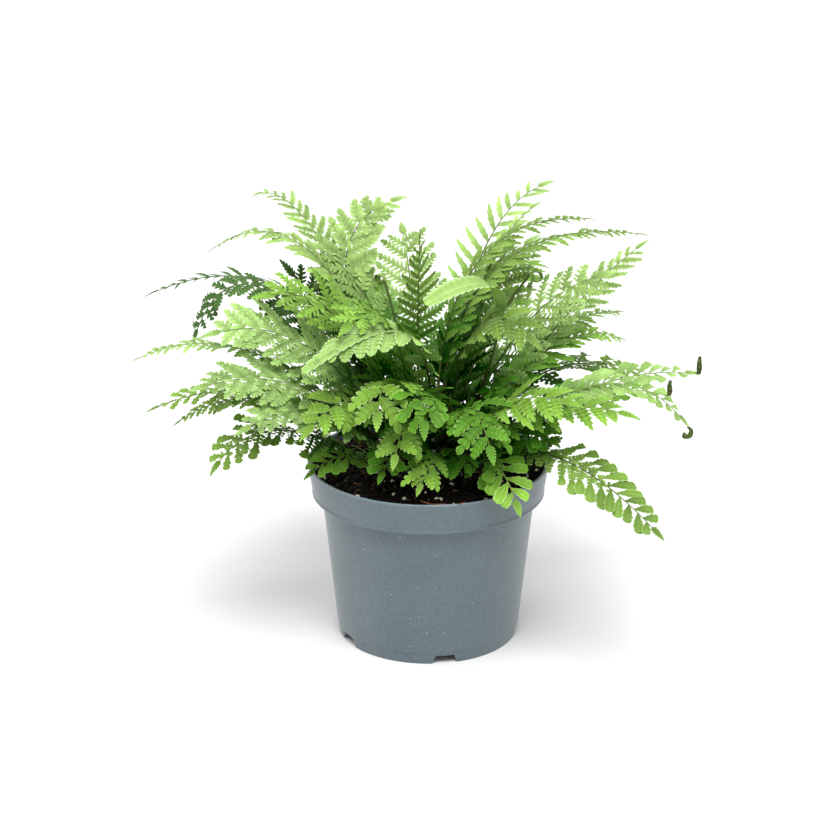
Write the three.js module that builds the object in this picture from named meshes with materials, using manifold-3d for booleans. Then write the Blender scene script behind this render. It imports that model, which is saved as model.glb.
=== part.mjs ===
// Potted fern: a clump of arching, feather-cut fronds in a moulded nursery pot.
// Millimetres, +Z up. The origin is the middle of the pot's underside.
// Azimuths run from +X towards +Y. The side that faces -Y is the front.

import * as THREE from "three";
import { mergeVertices } from "three/addons/utils/BufferGeometryUtils.js";
import Module from "manifold-3d";

const wasm = await Module();
wasm.setup();

// ---------------------------------------------------------------- driving dimensions

// Pot: 12 cm across the rim, thin wall, deep straight collar.
const RIM_RADIUS = 60;
const POT_HEIGHT = 90.5;
const WALL = 1.7;
const COLLAR_HEIGHT = 16;
const COLLAR_FOOT_RADIUS = 57.4;
const BODY_TOP_RADIUS = 53;
const BASE_RADIUS = 45;
const FOOT_BAND_HEIGHT = 5.5;
const FOOT_BAND_STEP = 0.35;
const FOOT_RING_WIDTH = 6;
const FLOOR_RISE = 3.2;
const FLOOR_THICKNESS = 2;
const CENTRE_PAD_RADIUS = 15;
const EDGE_BEVEL = 0.6;
const STEP_DRAFT = 1;
const BASE_DRAFT = 0.5;
const POT_SIDES = 36;

const NOTCH_COUNT = 5;
const NOTCH_WIDTH = 11;
const NOTCH_HEIGHT = 4;
const NOTCH_TAPER = 1;
const NOTCH_OVERRUN = 2;
const FRONT_NOTCH_AZIMUTH = -79.5;

const DRAIN_COUNT = 6;
const DRAIN_RADIUS = 3.5;
const DRAIN_CIRCLE_RADIUS = 27;
const DRAIN_SIDES = 8;

// Soil: fills the pot to just under the rim and swells a little round the crown.
const SOIL_EDGE_DEPTH = 5;
const SOIL_SWELL = 3;
const SOIL_BUMP = 0.7;

// Crown: the clump of short rootstocks that every stalk grows from.
const CROWN_RADIUS = 24;
const CROWN_DEPTH = 28;
const CROWN_RISE = 3;
const CROWN_FOOT_SHARE = 0.7;
const CROWN_SIDES = 18;

// Stalks and midribs. Low fronds leave the crown near its edge, tall ones near its middle.
const STALK_FOOT_DEPTH = 6;
const STALK_FOOT_NEAREST = 0.1;
const STALK_FOOT_SPREAD = 0.72;
const STALK_FOOT_RADIUS = 1.19;
const STALK_TOP_RADIUS = 0.86;
const STALK_STEPS = 4;
const RIB_HALF_WIDTH = 0.85;
const RIB_DEPTH = 1.5;
const RIB_TAPER = 0.5;
const USUAL_STALK_SHARE = 0.34;

// Leaflets: their spacing along the midrib, their angle to it at the blade's foot and
// tip, and their outline in shares of the spacing or of their own length.
const BLADE = 0.7;
const LEAFLET_SPACING = 11.8;
const LEAFLET_ANGLES = [66, 46];
const LEAFLET_STAGGER = 0.15;
const LEAFLET_FILL = 0.8;
const LEAFLET_WAIST = 0.55;
const LEAFLET_SLIMNESS = 0.36;
const LEAFLET_DROOP = 0.14;
const SHORTEST_LEAFLET = 3;
const BLADE_FOOT_FULLNESS = 0.95;
const BLADE_SWELL = 1.1;
const FEWEST_PAIRS = 4;
const MOST_PAIRS = 9;
const BARE_FOOT = 0.25;
const END_LEAFLET = 1.05;
const END_LEAFLET_WAIST = 0.4;
const END_LEAFLET_FILL = 0.26;
const END_LEAFLET_SLIMNESS = 0.11;
const LIFT = 4;
const USUAL_ROLL = 34;
const ROLLED_BY = 0.625;

// Room between neighbours: where they meet, and where they only pass.
const GAP = 0.3;
const CLEARANCE = 0.35;

const POT_COLOUR = 0x72818a;
const SOIL_COLOUR = 0x2a211a;
const STALK_COLOUR = 0x33231a;
const CROZIER_COLOUR = 0x6d8f3a;
const LEAF_COLOURS = { pale: 0x9fcf78, light: 0x8ccb45, mid: 0x5fae2b, dark: 0x3f7f22 };

// ---------------------------------------------------------------- fronds
// tip is where a frond ends, mid the point halfway along its arch, and width the
// blade's greatest width. stalk is the bare share of the length, and roll how many
// degrees a blade that grows sideways has turned its upper face to the front.

const SHOWN_FRONDS = [
  // left side, from the top down
  { tip: [-90, 70, 205], mid: [-53, 45, 188], width: 32, leaf: "light", roll: 12 },
  { tip: [-109, 30, 188], mid: [-53, 18, 187], width: 28, leaf: "light", roll: 0 },
  { tip: [-138, 2, 174], mid: [-62, 5, 172], width: 26, leaf: "dark", roll: 0 },
  { tip: [-113, -20, 157], mid: [-75, -9, 179], width: 28, leaf: "dark", roll: 25 },
  { tip: [-84, -28, 182], mid: [-38, -12, 164], width: 54, leaf: "mid" },
  { tip: [-108, -38, 166], mid: [-56, -24, 156], width: 52, leaf: "pale" },
  { tip: [-142, -32, 152], mid: [-79, -20, 151], width: 20, leaf: "pale", roll: 0 },
  { tip: [-112, -62, 148], mid: [-58, -38, 141], width: 46, leaf: "pale", roll: 30 },
  { tip: [-134, -46, 132], mid: [-72, -29, 134], width: 28, leaf: "mid", roll: 6 },
  { tip: [-90, -73, 130], mid: [-50, -45, 131], width: 38, leaf: "pale" },
  { tip: [-125, -12, 112], mid: [-75, -6, 123], width: 22, leaf: "mid", roll: 10 },
  { tip: [-103, -58, 104], mid: [-70, -35, 119], width: 32, leaf: "mid", stalk: 0.42, roll: 24 },
  // top, from left to right
  { tip: [-10, 60, 208], mid: [-41, 27, 177], width: 42, leaf: "light", stalk: 0.42 },
  { tip: [-42, -56, 172], mid: [-18, -21, 166], width: 50, leaf: "mid" },
  { tip: [-4, -6, 211], mid: [-5, -4, 150], width: 26, leaf: "light", stalk: 0.6 },
  { tip: [52, -54, 165], mid: [23, -24, 166], width: 44, leaf: "mid" },
  { tip: [64, 70, 214], mid: [25, 40, 180], width: 32, leaf: "mid", stalk: 0.5, roll: 24 },
  { tip: [56, 40, 211], mid: [27, 26, 173], width: 16, leaf: "light", stalk: 0.45, roll: 10 },
  { tip: [82, 30, 205], mid: [20, 13, 182], width: 24, leaf: "mid", roll: 0 },
  { tip: [107, 16, 201], mid: [28, 5, 182], width: 24, leaf: "mid", roll: 0 },
  { tip: [110, 40, 192], mid: [65, 22, 154], width: 36, leaf: "light", stalk: 0.45, roll: 15 },
  // right side, from the top down
  { tip: [92, 2, 186], mid: [46, -2, 160], width: 50, leaf: "light" },
  { tip: [100, 52, 150], mid: [56, 30, 140], width: 26, leaf: "light", roll: 8 },
  { tip: [99, 26, 143], mid: [57, 12, 142], width: 28, leaf: "mid", roll: 10 },
  { tip: [132, -17, 141], mid: [74, -14, 131], width: 24, leaf: "pale", stalk: 0.4, roll: 22 },
  { tip: [124, -42, 122], mid: [78, -28, 139], width: 24, leaf: "pale", stalk: 0.4, roll: 16 },
  { tip: [99, -62, 134], mid: [53, -41, 130], width: 40, leaf: "light", roll: 20 },
  { tip: [119, 6, 121], mid: [74, 2, 120], width: 26, leaf: "mid", roll: 12 },
  { tip: [109, -90, 85], mid: [56, -43, 110], width: 30, leaf: "mid", stalk: 0.42 },
  // front, facing the viewer
  { tip: [-59, -62, 157], mid: [-8, -34, 165], width: 28, leaf: "pale", roll: 12 },
  { tip: [-24, -76, 133], mid: [-18, -35, 143], width: 44, leaf: "light" },
  { tip: [-2, -48, 189], mid: [33, -26, 173], width: 28, leaf: "pale", stalk: 0.55, roll: 12 },
  { tip: [72, -66, 141], mid: [36, -42, 134], width: 46, leaf: "light", roll: 26 },
  { tip: [-2, -80, 130], mid: [-3, -42, 140], width: 42, leaf: "mid" },
  { tip: [-60, -70, 126], mid: [-31, -34, 133], width: 40, leaf: "mid" },
  { tip: [30, -80, 118], mid: [18, -39, 132], width: 42, leaf: "mid" },
  { tip: [-17, -74, 113], mid: [-9, -37, 125], width: 36, leaf: "light" },
  // low ones over the soil and short ones inside
  { tip: [-60, -40, 95], mid: [-37, -24, 102], width: 26, leaf: "light", stalk: 0.2 },
  { tip: [-24, -61, 101], mid: [-13, -34, 109], width: 28, leaf: "mid", stalk: 0.3 },
  { tip: [-6, -66, 97], mid: [3, -40, 109], width: 28, leaf: "light", stalk: 0.3 },
  { tip: [20, -56, 103], mid: [12, -32, 108], width: 30, leaf: "mid", stalk: 0.3 },
  { tip: [43, -70, 88], mid: [29, -38, 105], width: 34, leaf: "light", stalk: 0.25 },
  { tip: [65, -28, 99], mid: [44, -12, 105], width: 30, leaf: "mid", stalk: 0.3 },
  { tip: [62, -52, 116], mid: [40, -25, 114], width: 34, leaf: "mid", stalk: 0.3 },
  { tip: [-33, -42, 115], mid: [-21, -14, 116], width: 36, leaf: "mid", stalk: 0.3 },
  { tip: [42, -30, 130], mid: [25, -9, 131], width: 36, leaf: "dark" },
  { tip: [-74, 28, 185], mid: [-50, 16, 155], width: 40, leaf: "dark" },
];

// The far side is filled by rule: three tiers of arch, each given by the distance
// from the axis and the height of its tip and of its middle.
const BACK_COUNT = 8;
const BACK_FROM = 18;
const BACK_TO = 162;
const BACK_SEED = 7;
const BACK_TURN_SPREAD = 4;
const BACK_REACH_SPREAD = 0.06;
const BACK_RISE_SPREAD = 4;
const BACK_ROLL = 10;
const BACK_TIERS = [
  { tip: [118, 116], mid: [63, 124], width: 44, leaf: "mid" },
  { tip: [72, 192], mid: [33, 162], width: 48, leaf: "light" },
  { tip: [112, 158], mid: [57, 150], width: 48, leaf: "mid" },
];

// Curled young fronds: the point where the curl starts, and its size.
const CROZIERS = [
  { bend: [50, 9, 184], mid: [22, 4, 138], curl: 4.2 },
  { bend: [-22, 26, 176], mid: [-11, 13, 132], curl: 3.8 },
];
const CROZIER_STALK = 0.62;
const CROZIER_RADIUS = 1.1;
const CROZIER_SIDES = 5;
const CROZIER_SHAFT_STEPS = 3;
const CROZIER_TAPER = 0.35;
const CURL_TURNS = 1.15;
const CURL_TIGHTENING = 0.62;
const CURL_STEPS = 9;

// ---------------------------------------------------------------- small helpers

const UP = new THREE.Vector3(0, 0, 1);

/** Repeatable random numbers from 0 to 1. */
function seeded(seed) {
  let state = seed;
  return () => {
    state = (state * 1664525 + 1013904223) % 4294967296;
    return state / 4294967296;
  };
}

function radians(degrees) {
  return THREE.MathUtils.degToRad(degrees);
}

/** A point at a distance from the axis, an azimuth in degrees and a height. */
function polar(radius, azimuth, height) {
  const angle = radians(azimuth);
  return new THREE.Vector3(radius * Math.cos(angle), radius * Math.sin(angle), height);
}

/** The closed mesh of a geometry as a solid that can be joined and cut. */
function solid(geometry) {
  const bare = geometry.clone();
  bare.deleteAttribute("normal");
  bare.deleteAttribute("uv");
  const merged = mergeVertices(bare, 1e-4);
  return new wasm.Manifold(new wasm.Mesh({
    numProp: 3,
    vertProperties: new Float32Array(merged.attributes.position.array),
    triVerts: new Uint32Array(merged.index.array),
  }));
}

/** A solid's surface as a geometry. */
function surface(manifold) {
  const mesh = manifold.getMesh();
  const geometry = new THREE.BufferGeometry();
  geometry.setAttribute("position", new THREE.BufferAttribute(mesh.vertProperties, 3));
  geometry.setIndex(new THREE.BufferAttribute(mesh.triVerts, 1));
  geometry.computeVertexNormals();
  return geometry;
}

/** Points and triangles gathered into one closed geometry. */
class Skin {
  constructor() {
    this.points = [];
    this.faces = [];
  }

  add(point) {
    this.points.push(point.x, point.y, point.z);
    return this.points.length / 3 - 1;
  }

  triangle(a, b, c, flip = false) {
    this.faces.push(a, flip ? c : b, flip ? b : c);
  }

  quad(a, b, c, d, flip = false) {
    this.triangle(a, b, c, flip);
    this.triangle(a, c, d, flip);
  }

  geometry() {
    const geometry = new THREE.BufferGeometry();
    geometry.setAttribute("position", new THREE.Float32BufferAttribute(this.points, 3));
    geometry.setIndex(this.faces);
    return geometry;
  }
}

/** A profile of [radius, height] pairs turned round the Z axis. */
function turned(profile, sides) {
  const points = profile.map(([radius, height]) => new THREE.Vector2(radius, height));
  const geometry = new THREE.LatheGeometry(points, sides);
  return geometry.rotateX(Math.PI / 2);
}

/**
 * A round bar that follows a list of points with a radius at each. Its rings are set
 * out from one level direction, so a bar that stays in an upright plane never twists.
 */
function bar(points, radii, sides, across) {
  const curve = new THREE.CatmullRomCurve3(points);
  const skin = new Skin();
  const rings = points.map((point, index) => {
    const along = curve.getTangent(index / (points.length - 1));
    const over = new THREE.Vector3().crossVectors(across, along).normalize();
    return Array.from({ length: sides }, (_, side) => {
      const angle = (2 * Math.PI * side) / sides;
      const spoke = across.clone().multiplyScalar(Math.cos(angle) * radii[index]);
      return skin.add(spoke.addScaledVector(over, Math.sin(angle) * radii[index]).add(point));
    });
  });
  for (let index = 1; index < rings.length; index += 1) {
    const [back, ahead] = [rings[index - 1], rings[index]];
    for (let side = 0; side < sides; side += 1) {
      const next = (side + 1) % sides;
      skin.quad(back[side], ahead[side], ahead[next], back[next]);
    }
  }
  const last = rings[rings.length - 1];
  for (let side = 2; side < sides; side += 1) {
    skin.triangle(rings[0][0], rings[0][side - 1], rings[0][side]);
    skin.triangle(last[0], last[side], last[side - 1]);
  }
  return skin.geometry();
}

/** The level direction to the right of a heading. */
function sideOf(along) {
  return new THREE.Vector3().crossVectors(along, UP).normalize();
}

/** Turns a direction about an axis, by degrees. */
function turnedAbout(direction, axis, degrees) {
  return direction.clone().applyAxisAngle(axis, radians(degrees));
}

// ---------------------------------------------------------------- pot

const COLLAR_FOOT = POT_HEIGHT - COLLAR_HEIGHT;

function potWall() {
  const foot = BASE_RADIUS - FOOT_RING_WIDTH;
  const inner = BASE_RADIUS - WALL;
  const floor = FLOOR_RISE + FLOOR_THICKNESS;
  const bandTop = BASE_RADIUS + BASE_DRAFT;
  return turned([
    [0, 0],
    [CENTRE_PAD_RADIUS, 0],
    [CENTRE_PAD_RADIUS + STEP_DRAFT, FLOOR_RISE],
    [foot - STEP_DRAFT, FLOOR_RISE],
    [foot, 0],
    [BASE_RADIUS, 0],
    [bandTop, FOOT_BAND_HEIGHT],
    [bandTop + FOOT_BAND_STEP, FOOT_BAND_HEIGHT + FOOT_BAND_STEP],
    [BODY_TOP_RADIUS, COLLAR_FOOT],
    [COLLAR_FOOT_RADIUS - EDGE_BEVEL, COLLAR_FOOT],
    [COLLAR_FOOT_RADIUS, COLLAR_FOOT + EDGE_BEVEL],
    [RIM_RADIUS, POT_HEIGHT - EDGE_BEVEL],
    [RIM_RADIUS - EDGE_BEVEL, POT_HEIGHT],
    [RIM_RADIUS - WALL, POT_HEIGHT],
    [COLLAR_FOOT_RADIUS - WALL, COLLAR_FOOT + WALL],
    [BODY_TOP_RADIUS - WALL, COLLAR_FOOT],
    [inner, floor],
    [0, floor],
  ], POT_SIDES);
}

/** A wedge-sided cut through the foot, wider at the bottom. */
function notchCut(azimuth) {
  const half = NOTCH_WIDTH / 2;
  const outline = new THREE.Shape([
    new THREE.Vector2(-half - NOTCH_TAPER, -NOTCH_HEIGHT),
    new THREE.Vector2(half + NOTCH_TAPER, -NOTCH_HEIGHT),
    new THREE.Vector2(half - NOTCH_TAPER, NOTCH_HEIGHT),
    new THREE.Vector2(-half + NOTCH_TAPER, NOTCH_HEIGHT),
  ]);
  const depth = FOOT_RING_WIDTH + 2 * NOTCH_OVERRUN;
  const cut = new THREE.ExtrudeGeometry(outline, { depth, bevelEnabled: false });
  cut.rotateX(Math.PI / 2);
  cut.rotateZ(Math.PI / 2);
  cut.translate(BASE_RADIUS - FOOT_RING_WIDTH - NOTCH_OVERRUN, 0, 0);
  cut.rotateZ(radians(azimuth));
  return cut;
}

function drainCut(azimuth) {
  const height = FLOOR_RISE + FLOOR_THICKNESS;
  const cut = new THREE.CylinderGeometry(DRAIN_RADIUS, DRAIN_RADIUS, height * 2, DRAIN_SIDES);
  cut.rotateX(Math.PI / 2);
  const place = polar(DRAIN_CIRCLE_RADIUS, azimuth, height);
  return cut.translate(place.x, place.y, place.z);
}

function buildPot() {
  let pot = solid(potWall());
  for (let index = 0; index < NOTCH_COUNT; index += 1) {
    pot = pot.subtract(solid(notchCut(FRONT_NOTCH_AZIMUTH + (360 * index) / NOTCH_COUNT)));
  }
  for (let index = 0; index < DRAIN_COUNT; index += 1) {
    pot = pot.subtract(solid(drainCut((360 * index) / DRAIN_COUNT)));
  }
  return pot;
}

// ---------------------------------------------------------------- soil

const SOIL_EDGE = POT_HEIGHT - SOIL_EDGE_DEPTH;
const SOIL_TOP = SOIL_EDGE + SOIL_SWELL;

/** Height of the soil's top at a place: a low swell with two crossed sets of waves. */
function soilTop(x, y) {
  const reach = Math.hypot(x, y) / RIM_RADIUS;
  const waves = Math.sin(x * 0.31 + 1) * Math.cos(y * 0.27) + Math.sin((x + y) * 0.17);
  return SOIL_EDGE + SOIL_SWELL * (1 - reach * reach) + (SOIL_BUMP * waves) / 2;
}

function buildSoil() {
  const floor = FLOOR_RISE + FLOOR_THICKNESS + GAP;
  const wallAt = (height) => {
    const rise = (height - COLLAR_FOOT - WALL) / (COLLAR_HEIGHT - WALL);
    const outer = COLLAR_FOOT_RADIUS + (RIM_RADIUS - COLLAR_FOOT_RADIUS) * rise;
    return outer - WALL - GAP;
  };
  const hole = CROWN_RADIUS + GAP;
  const holeFloor = SOIL_TOP - CROWN_DEPTH - GAP;
  const body = turned([
    [0, floor],
    [BASE_RADIUS - WALL - GAP, floor],
    [BODY_TOP_RADIUS - WALL - GAP, COLLAR_FOOT],
    [wallAt(COLLAR_FOOT + WALL + 1), COLLAR_FOOT + WALL + 1],
    [wallAt(SOIL_EDGE), SOIL_EDGE],
    [(wallAt(SOIL_EDGE) * 2 + hole) / 3, SOIL_TOP],
    [(wallAt(SOIL_EDGE) + hole * 2) / 3, SOIL_TOP],
    [hole, SOIL_TOP],
    [hole - CROWN_RADIUS * (1 - CROWN_FOOT_SHARE), holeFloor],
    [0, holeFloor],
  ], POT_SIDES);
  const places = body.attributes.position;
  for (let index = 0; index < places.count; index += 1) {
    if (places.getZ(index) >= SOIL_EDGE - 1e-3) {
      places.setZ(index, soilTop(places.getX(index), places.getY(index)));
    }
  }
  return solid(body);
}

// ---------------------------------------------------------------- frond arches

/** A frond's arch: a parabola from the crown over the middle point to the tip. */
function archOf(frond) {
  const tip = new THREE.Vector3(...frond.tip);
  const middle = new THREE.Vector3(...frond.mid);
  const heading = new THREE.Vector3(middle.x, middle.y, 0);
  const level = heading.length();
  const flatness = level / (level + middle.z - SOIL_TOP);
  heading.normalize();
  const outwards = STALK_FOOT_NEAREST + STALK_FOOT_SPREAD * flatness;
  const root = heading.multiplyScalar(CROWN_RADIUS * outwards);
  root.z = SOIL_TOP - STALK_FOOT_DEPTH;
  const pull = middle.multiplyScalar(2).addScaledVector(root, -0.5).addScaledVector(tip, -0.5);
  return new THREE.QuadraticBezierCurve3(root, pull, tip);
}

/** The bare stalk, a thin bar from inside the crown to just short of the blade. */
function stalkSolid(frond, arch) {
  const length = arch.getLength();
  const end = frond.stalk - (GAP + 0.1) / length;
  const points = [];
  const radii = [];
  for (let step = 0; step <= STALK_STEPS; step += 1) {
    const share = step / STALK_STEPS;
    points.push(arch.getPointAt(end * share));
    radii.push(THREE.MathUtils.lerp(STALK_FOOT_RADIUS, STALK_TOP_RADIUS, share));
  }
  const heading = points[STALK_STEPS].clone().sub(points[0]);
  return solid(bar(points, radii, 3, sideOf(heading)));
}

/** The places along a blade's midrib where one leaflet ends and the next starts. */
function bladeStations(frond, arch) {
  const length = arch.getLength() * (1 - frond.stalk);
  const wanted = Math.round(length / LEAFLET_SPACING - END_LEAFLET / 2);
  const pairs = THREE.MathUtils.clamp(wanted, FEWEST_PAIRS, MOST_PAIRS);
  const parts = BARE_FOOT + pairs + END_LEAFLET;
  const places = [0, ...Array.from({ length: pairs + 1 }, (_, pair) => (pair + BARE_FOOT) / parts)];
  return places.map((place, index) => ({
    place,
    leaflet: index > 0 && index <= pairs,
    spacing: length / parts,
    share: frond.stalk + (1 - frond.stalk) * place,
  }));
}

/**
 * Directions at a place on the arch: along it, to its right, and above it. A blade that
 * grows to either side has rolled its upper face towards the light at the front.
 */
function framing(frond, share) {
  const along = frond.arch.getTangentAt(Math.min(share, 1));
  const level = sideOf(along);
  const roll = frond.roll * level.y * Math.min(1, share / ROLLED_BY);
  const across = turnedAbout(level, along, -roll);
  const over = new THREE.Vector3().crossVectors(across, along);
  return { point: frond.arch.getPointAt(Math.min(share, 1)), along, across, over };
}

/** The three edges of the midrib: right and left above, and the keel below. */
function ribEdges(frond, station) {
  const size = 1 - RIB_TAPER * station.place;
  const stagger = (LEAFLET_STAGGER * station.spacing) / frond.arch.getLength();
  const offset = station.place > 0 ? stagger : 0;
  const right = framing(frond, station.share + offset);
  const left = framing(frond, station.share - offset);
  const below = framing(frond, station.share);
  const half = RIB_HALF_WIDTH * size;
  return {
    right: right.point.addScaledVector(right.across, half),
    left: left.point.addScaledVector(left.across, -half),
    keel: below.point.addScaledVector(below.over, -RIB_DEPTH * size),
    frame: framing(frond, station.share),
  };
}

/** The angle between a leaflet and the midrib at a place along the blade. */
function leafletAngle(place) {
  return THREE.MathUtils.lerp(LEAFLET_ANGLES[0], LEAFLET_ANGLES[1], place);
}

/** Half the blade's width at a place from its base (0) to its tip (1). */
function bladeHalfWidth(frond, place) {
  const fullness = BLADE_FOOT_FULLNESS + BLADE_SWELL * place;
  return (frond.width / 2) * fullness * (1 - place);
}

/** One leaflet's outer points, above and below, for a lift angle and a length. */
function leafletPoints(frond, before, after, station, side, lift, length) {
  const { along, across, over } = before.frame;
  const edge = side > 0 ? "right" : "left";
  const turn = leafletAngle(station.place);
  const outwards = across.clone().multiplyScalar(side * Math.cos(radians(lift)));
  outwards.addScaledVector(over, Math.sin(radians(lift)));
  const reach = along.clone().multiplyScalar(Math.cos(radians(turn)));
  reach.addScaledVector(outwards, Math.sin(radians(turn)));
  const breadth = along.clone().addScaledVector(reach, -along.dot(reach)).normalize();
  const normal = new THREE.Vector3().crossVectors(outwards, along).multiplyScalar(side);
  const half = Math.min(
    (station.spacing * Math.sin(radians(turn)) * LEAFLET_FILL) / 2,
    length * LEAFLET_SLIMNESS,
  );
  const start = before[edge].clone().add(after[edge]).multiplyScalar(0.5);
  const waist = start.clone().addScaledVector(reach, length * LEAFLET_WAIST);
  const top = {
    near: waist.clone().addScaledVector(breadth, -half),
    far: waist.clone().addScaledVector(breadth, half),
    tip: start.clone().addScaledVector(reach, length).addScaledVector(normal, -LEAFLET_DROOP * length),
  };
  const lower = Object.fromEntries(Object.entries(top).map(
    ([name, point]) => [name, point.clone().addScaledVector(normal, -BLADE)],
  ));
  return { top, lower };
}

/** Adds a leaflet's faces to a skin, between two stations of the midrib. */
function leafletFaces(skin, points, edgeBefore, edgeAfter, keelBefore, keelAfter, side) {
  const flip = side < 0;
  const [near, far, tip] = ["near", "far", "tip"].map((name) => skin.add(points.top[name]));
  const [nearLow, farLow, tipLow] = ["near", "far", "tip"].map((name) => skin.add(points.lower[name]));
  skin.quad(edgeBefore, near, far, edgeAfter, flip);
  skin.triangle(near, tip, far, flip);
  skin.quad(keelBefore, keelAfter, farLow, nearLow, flip);
  skin.triangle(nearLow, farLow, tipLow, flip);
  skin.quad(edgeBefore, keelBefore, nearLow, near, flip);
  skin.quad(near, nearLow, tipLow, tip, flip);
  skin.quad(tip, tipLow, farLow, far, flip);
  skin.quad(far, farLow, keelAfter, edgeAfter, flip);
}

/** A leaflet closed at its root, to test how near it comes to its neighbours. */
function leafletSolid(points, before, after, side) {
  const edge = side > 0 ? "right" : "left";
  const skin = new Skin();
  const [edgeBefore, edgeAfter] = [skin.add(before[edge]), skin.add(after[edge])];
  const [keelBefore, keelAfter] = [skin.add(before.keel), skin.add(after.keel)];
  leafletFaces(skin, points, edgeBefore, edgeAfter, keelBefore, keelAfter, side);
  skin.quad(edgeBefore, edgeAfter, keelAfter, keelBefore, side < 0);
  return solid(skin.geometry());
}

/** The whole blade of one frond: midrib, chosen leaflets and end leaflet. */
function bladeGeometry(frond, leaflets) {
  const skin = new Skin();
  const edges = frond.stations.map((station) => ribEdges(frond, station));
  const rib = edges.map(({ right, left, keel }) => (
    { right: skin.add(right), left: skin.add(left), keel: skin.add(keel) }
  ));
  skin.triangle(rib[0].right, rib[0].left, rib[0].keel);
  for (let index = 1; index < rib.length; index += 1) {
    const [back, ahead] = [rib[index - 1], rib[index]];
    skin.quad(back.left, back.right, ahead.right, ahead.left);
    [1, -1].forEach((side) => {
      const edge = side > 0 ? "right" : "left";
      const points = leaflets.get(`${index - 1} ${side}`);
      if (points) {
        leafletFaces(skin, points, back[edge], ahead[edge], back.keel, ahead.keel, side);
      } else {
        skin.quad(back[edge], back.keel, ahead.keel, ahead[edge], side < 0);
      }
    });
  }
  endLeafletFaces(skin, frond, rib[rib.length - 1]);
  return skin.geometry();
}

/** The single leaflet that ends a frond. */
function endLeafletFaces(skin, frond, rib) {
  const last = frond.stations[frond.stations.length - 1];
  const waist = framing(frond, THREE.MathUtils.lerp(last.share, 1, END_LEAFLET_WAIST));
  const tip = framing(frond, 1);
  const half = Math.min(last.spacing * END_LEAFLET_FILL, frond.width * END_LEAFLET_SLIMNESS);
  const lower = (place) => place.point.clone().addScaledVector(place.over, -BLADE);
  const widened = (point, by) => skin.add(point.clone().addScaledVector(waist.across, by));
  const [right, left] = [widened(waist.point, half), widened(waist.point, -half)];
  const [rightLow, leftLow] = [widened(lower(waist), half), widened(lower(waist), -half)];
  const [end, endLow] = [skin.add(tip.point), skin.add(lower(tip))];
  skin.quad(rib.right, right, left, rib.left);
  skin.triangle(left, right, end);
  skin.triangle(rib.keel, leftLow, rightLow);
  skin.triangle(leftLow, endLow, rightLow);
  skin.quad(rib.right, rib.keel, rightLow, right);
  skin.quad(right, rightLow, endLow, end);
  skin.quad(left, end, endLow, leftLow);
  skin.quad(rib.left, left, leftLow, rib.keel);
}

// ---------------------------------------------------------------- bending clear

/** Everything placed so far, each with the box that bounds it. */
class Placed {
  constructor() {
    this.items = [];
  }

  add(owner, manifold) {
    this.items.push({ owner, manifold, box: boundsOf(manifold) });
  }

  /** Whether a solid stays clear of everything that isn't its owner's. */
  clears(owner, manifold) {
    const box = boundsOf(manifold).expandByScalar(CLEARANCE);
    return this.items.every((item) => item.owner === owner
      || !box.intersectsBox(item.box)
      || manifold.minGap(item.manifold, CLEARANCE * 2) >= CLEARANCE);
  }
}

function boundsOf(manifold) {
  const { min, max } = manifold.boundingBox();
  return new THREE.Box3(new THREE.Vector3(...min), new THREE.Vector3(...max));
}

const LIFTS = [0, 10, -12, 20, -24, 32, -38, 46, -52];
const LENGTH_SHARES = [1, 0.82, 0.64, 0.46];

/** The first lift and length at which a leaflet crosses nothing, or null. */
function clearLeaflet(frond, before, after, station, side, placed) {
  const turn = leafletAngle(station.place);
  const full = bladeHalfWidth(frond, station.place) / Math.sin(radians(turn));
  for (const share of LENGTH_SHARES) {
    const length = full * share;
    if (length < SHORTEST_LEAFLET) {
      return null;
    }
    for (const lift of LIFTS) {
      const points = leafletPoints(frond, before, after, station, side, LIFT + lift, length);
      const shape = leafletSolid(points, before, after, side);
      if (placed.clears(frond.name, shape)) {
        placed.add(frond.name, shape);
        return points;
      }
    }
  }
  return null;
}

/** Places a frond's midrib and stalk, which the arches as listed keep clear of others. */
function placeArch(frond, placed) {
  frond.arch = archOf(frond);
  frond.stations = bladeStations(frond, frond.arch);
  frond.stalkSolid = stalkSolid(frond, frond.arch);
  const rib = solid(bladeGeometry(frond, new Map()));
  if (!placed.clears(frond.name, rib) || !placed.clears("crown", frond.stalkSolid)) {
    throw new Error(`${frond.name} crosses another frond`);
  }
  placed.add(frond.name, rib);
  placed.add("crown", frond.stalkSolid);
}

/** Places every leaflet of a frond that can be bent clear. */
function placeLeaflets(frond, placed) {
  const edges = frond.stations.map((station) => ribEdges(frond, station));
  frond.leaflets = new Map();
  frond.stations.forEach((station, index) => {
    if (!station.leaflet) {
      return;
    }
    [1, -1].forEach((side) => {
      const points = clearLeaflet(frond, edges[index], edges[index + 1], station, side, placed);
      if (points) {
        frond.leaflets.set(`${index} ${side}`, points);
      }
    });
  });
}

// ---------------------------------------------------------------- crown and croziers

function crownLump() {
  const top = SOIL_TOP + CROWN_RISE;
  const foot = SOIL_TOP - CROWN_DEPTH;
  return solid(turned([
    [0, foot],
    [CROWN_RADIUS * CROWN_FOOT_SHARE, foot],
    [CROWN_RADIUS, SOIL_TOP],
    [CROWN_RADIUS * 0.75, SOIL_TOP + CROWN_RISE * 0.6],
    [CROWN_RADIUS * 0.35, top],
    [0, top],
  ], CROWN_SIDES));
}

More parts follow.
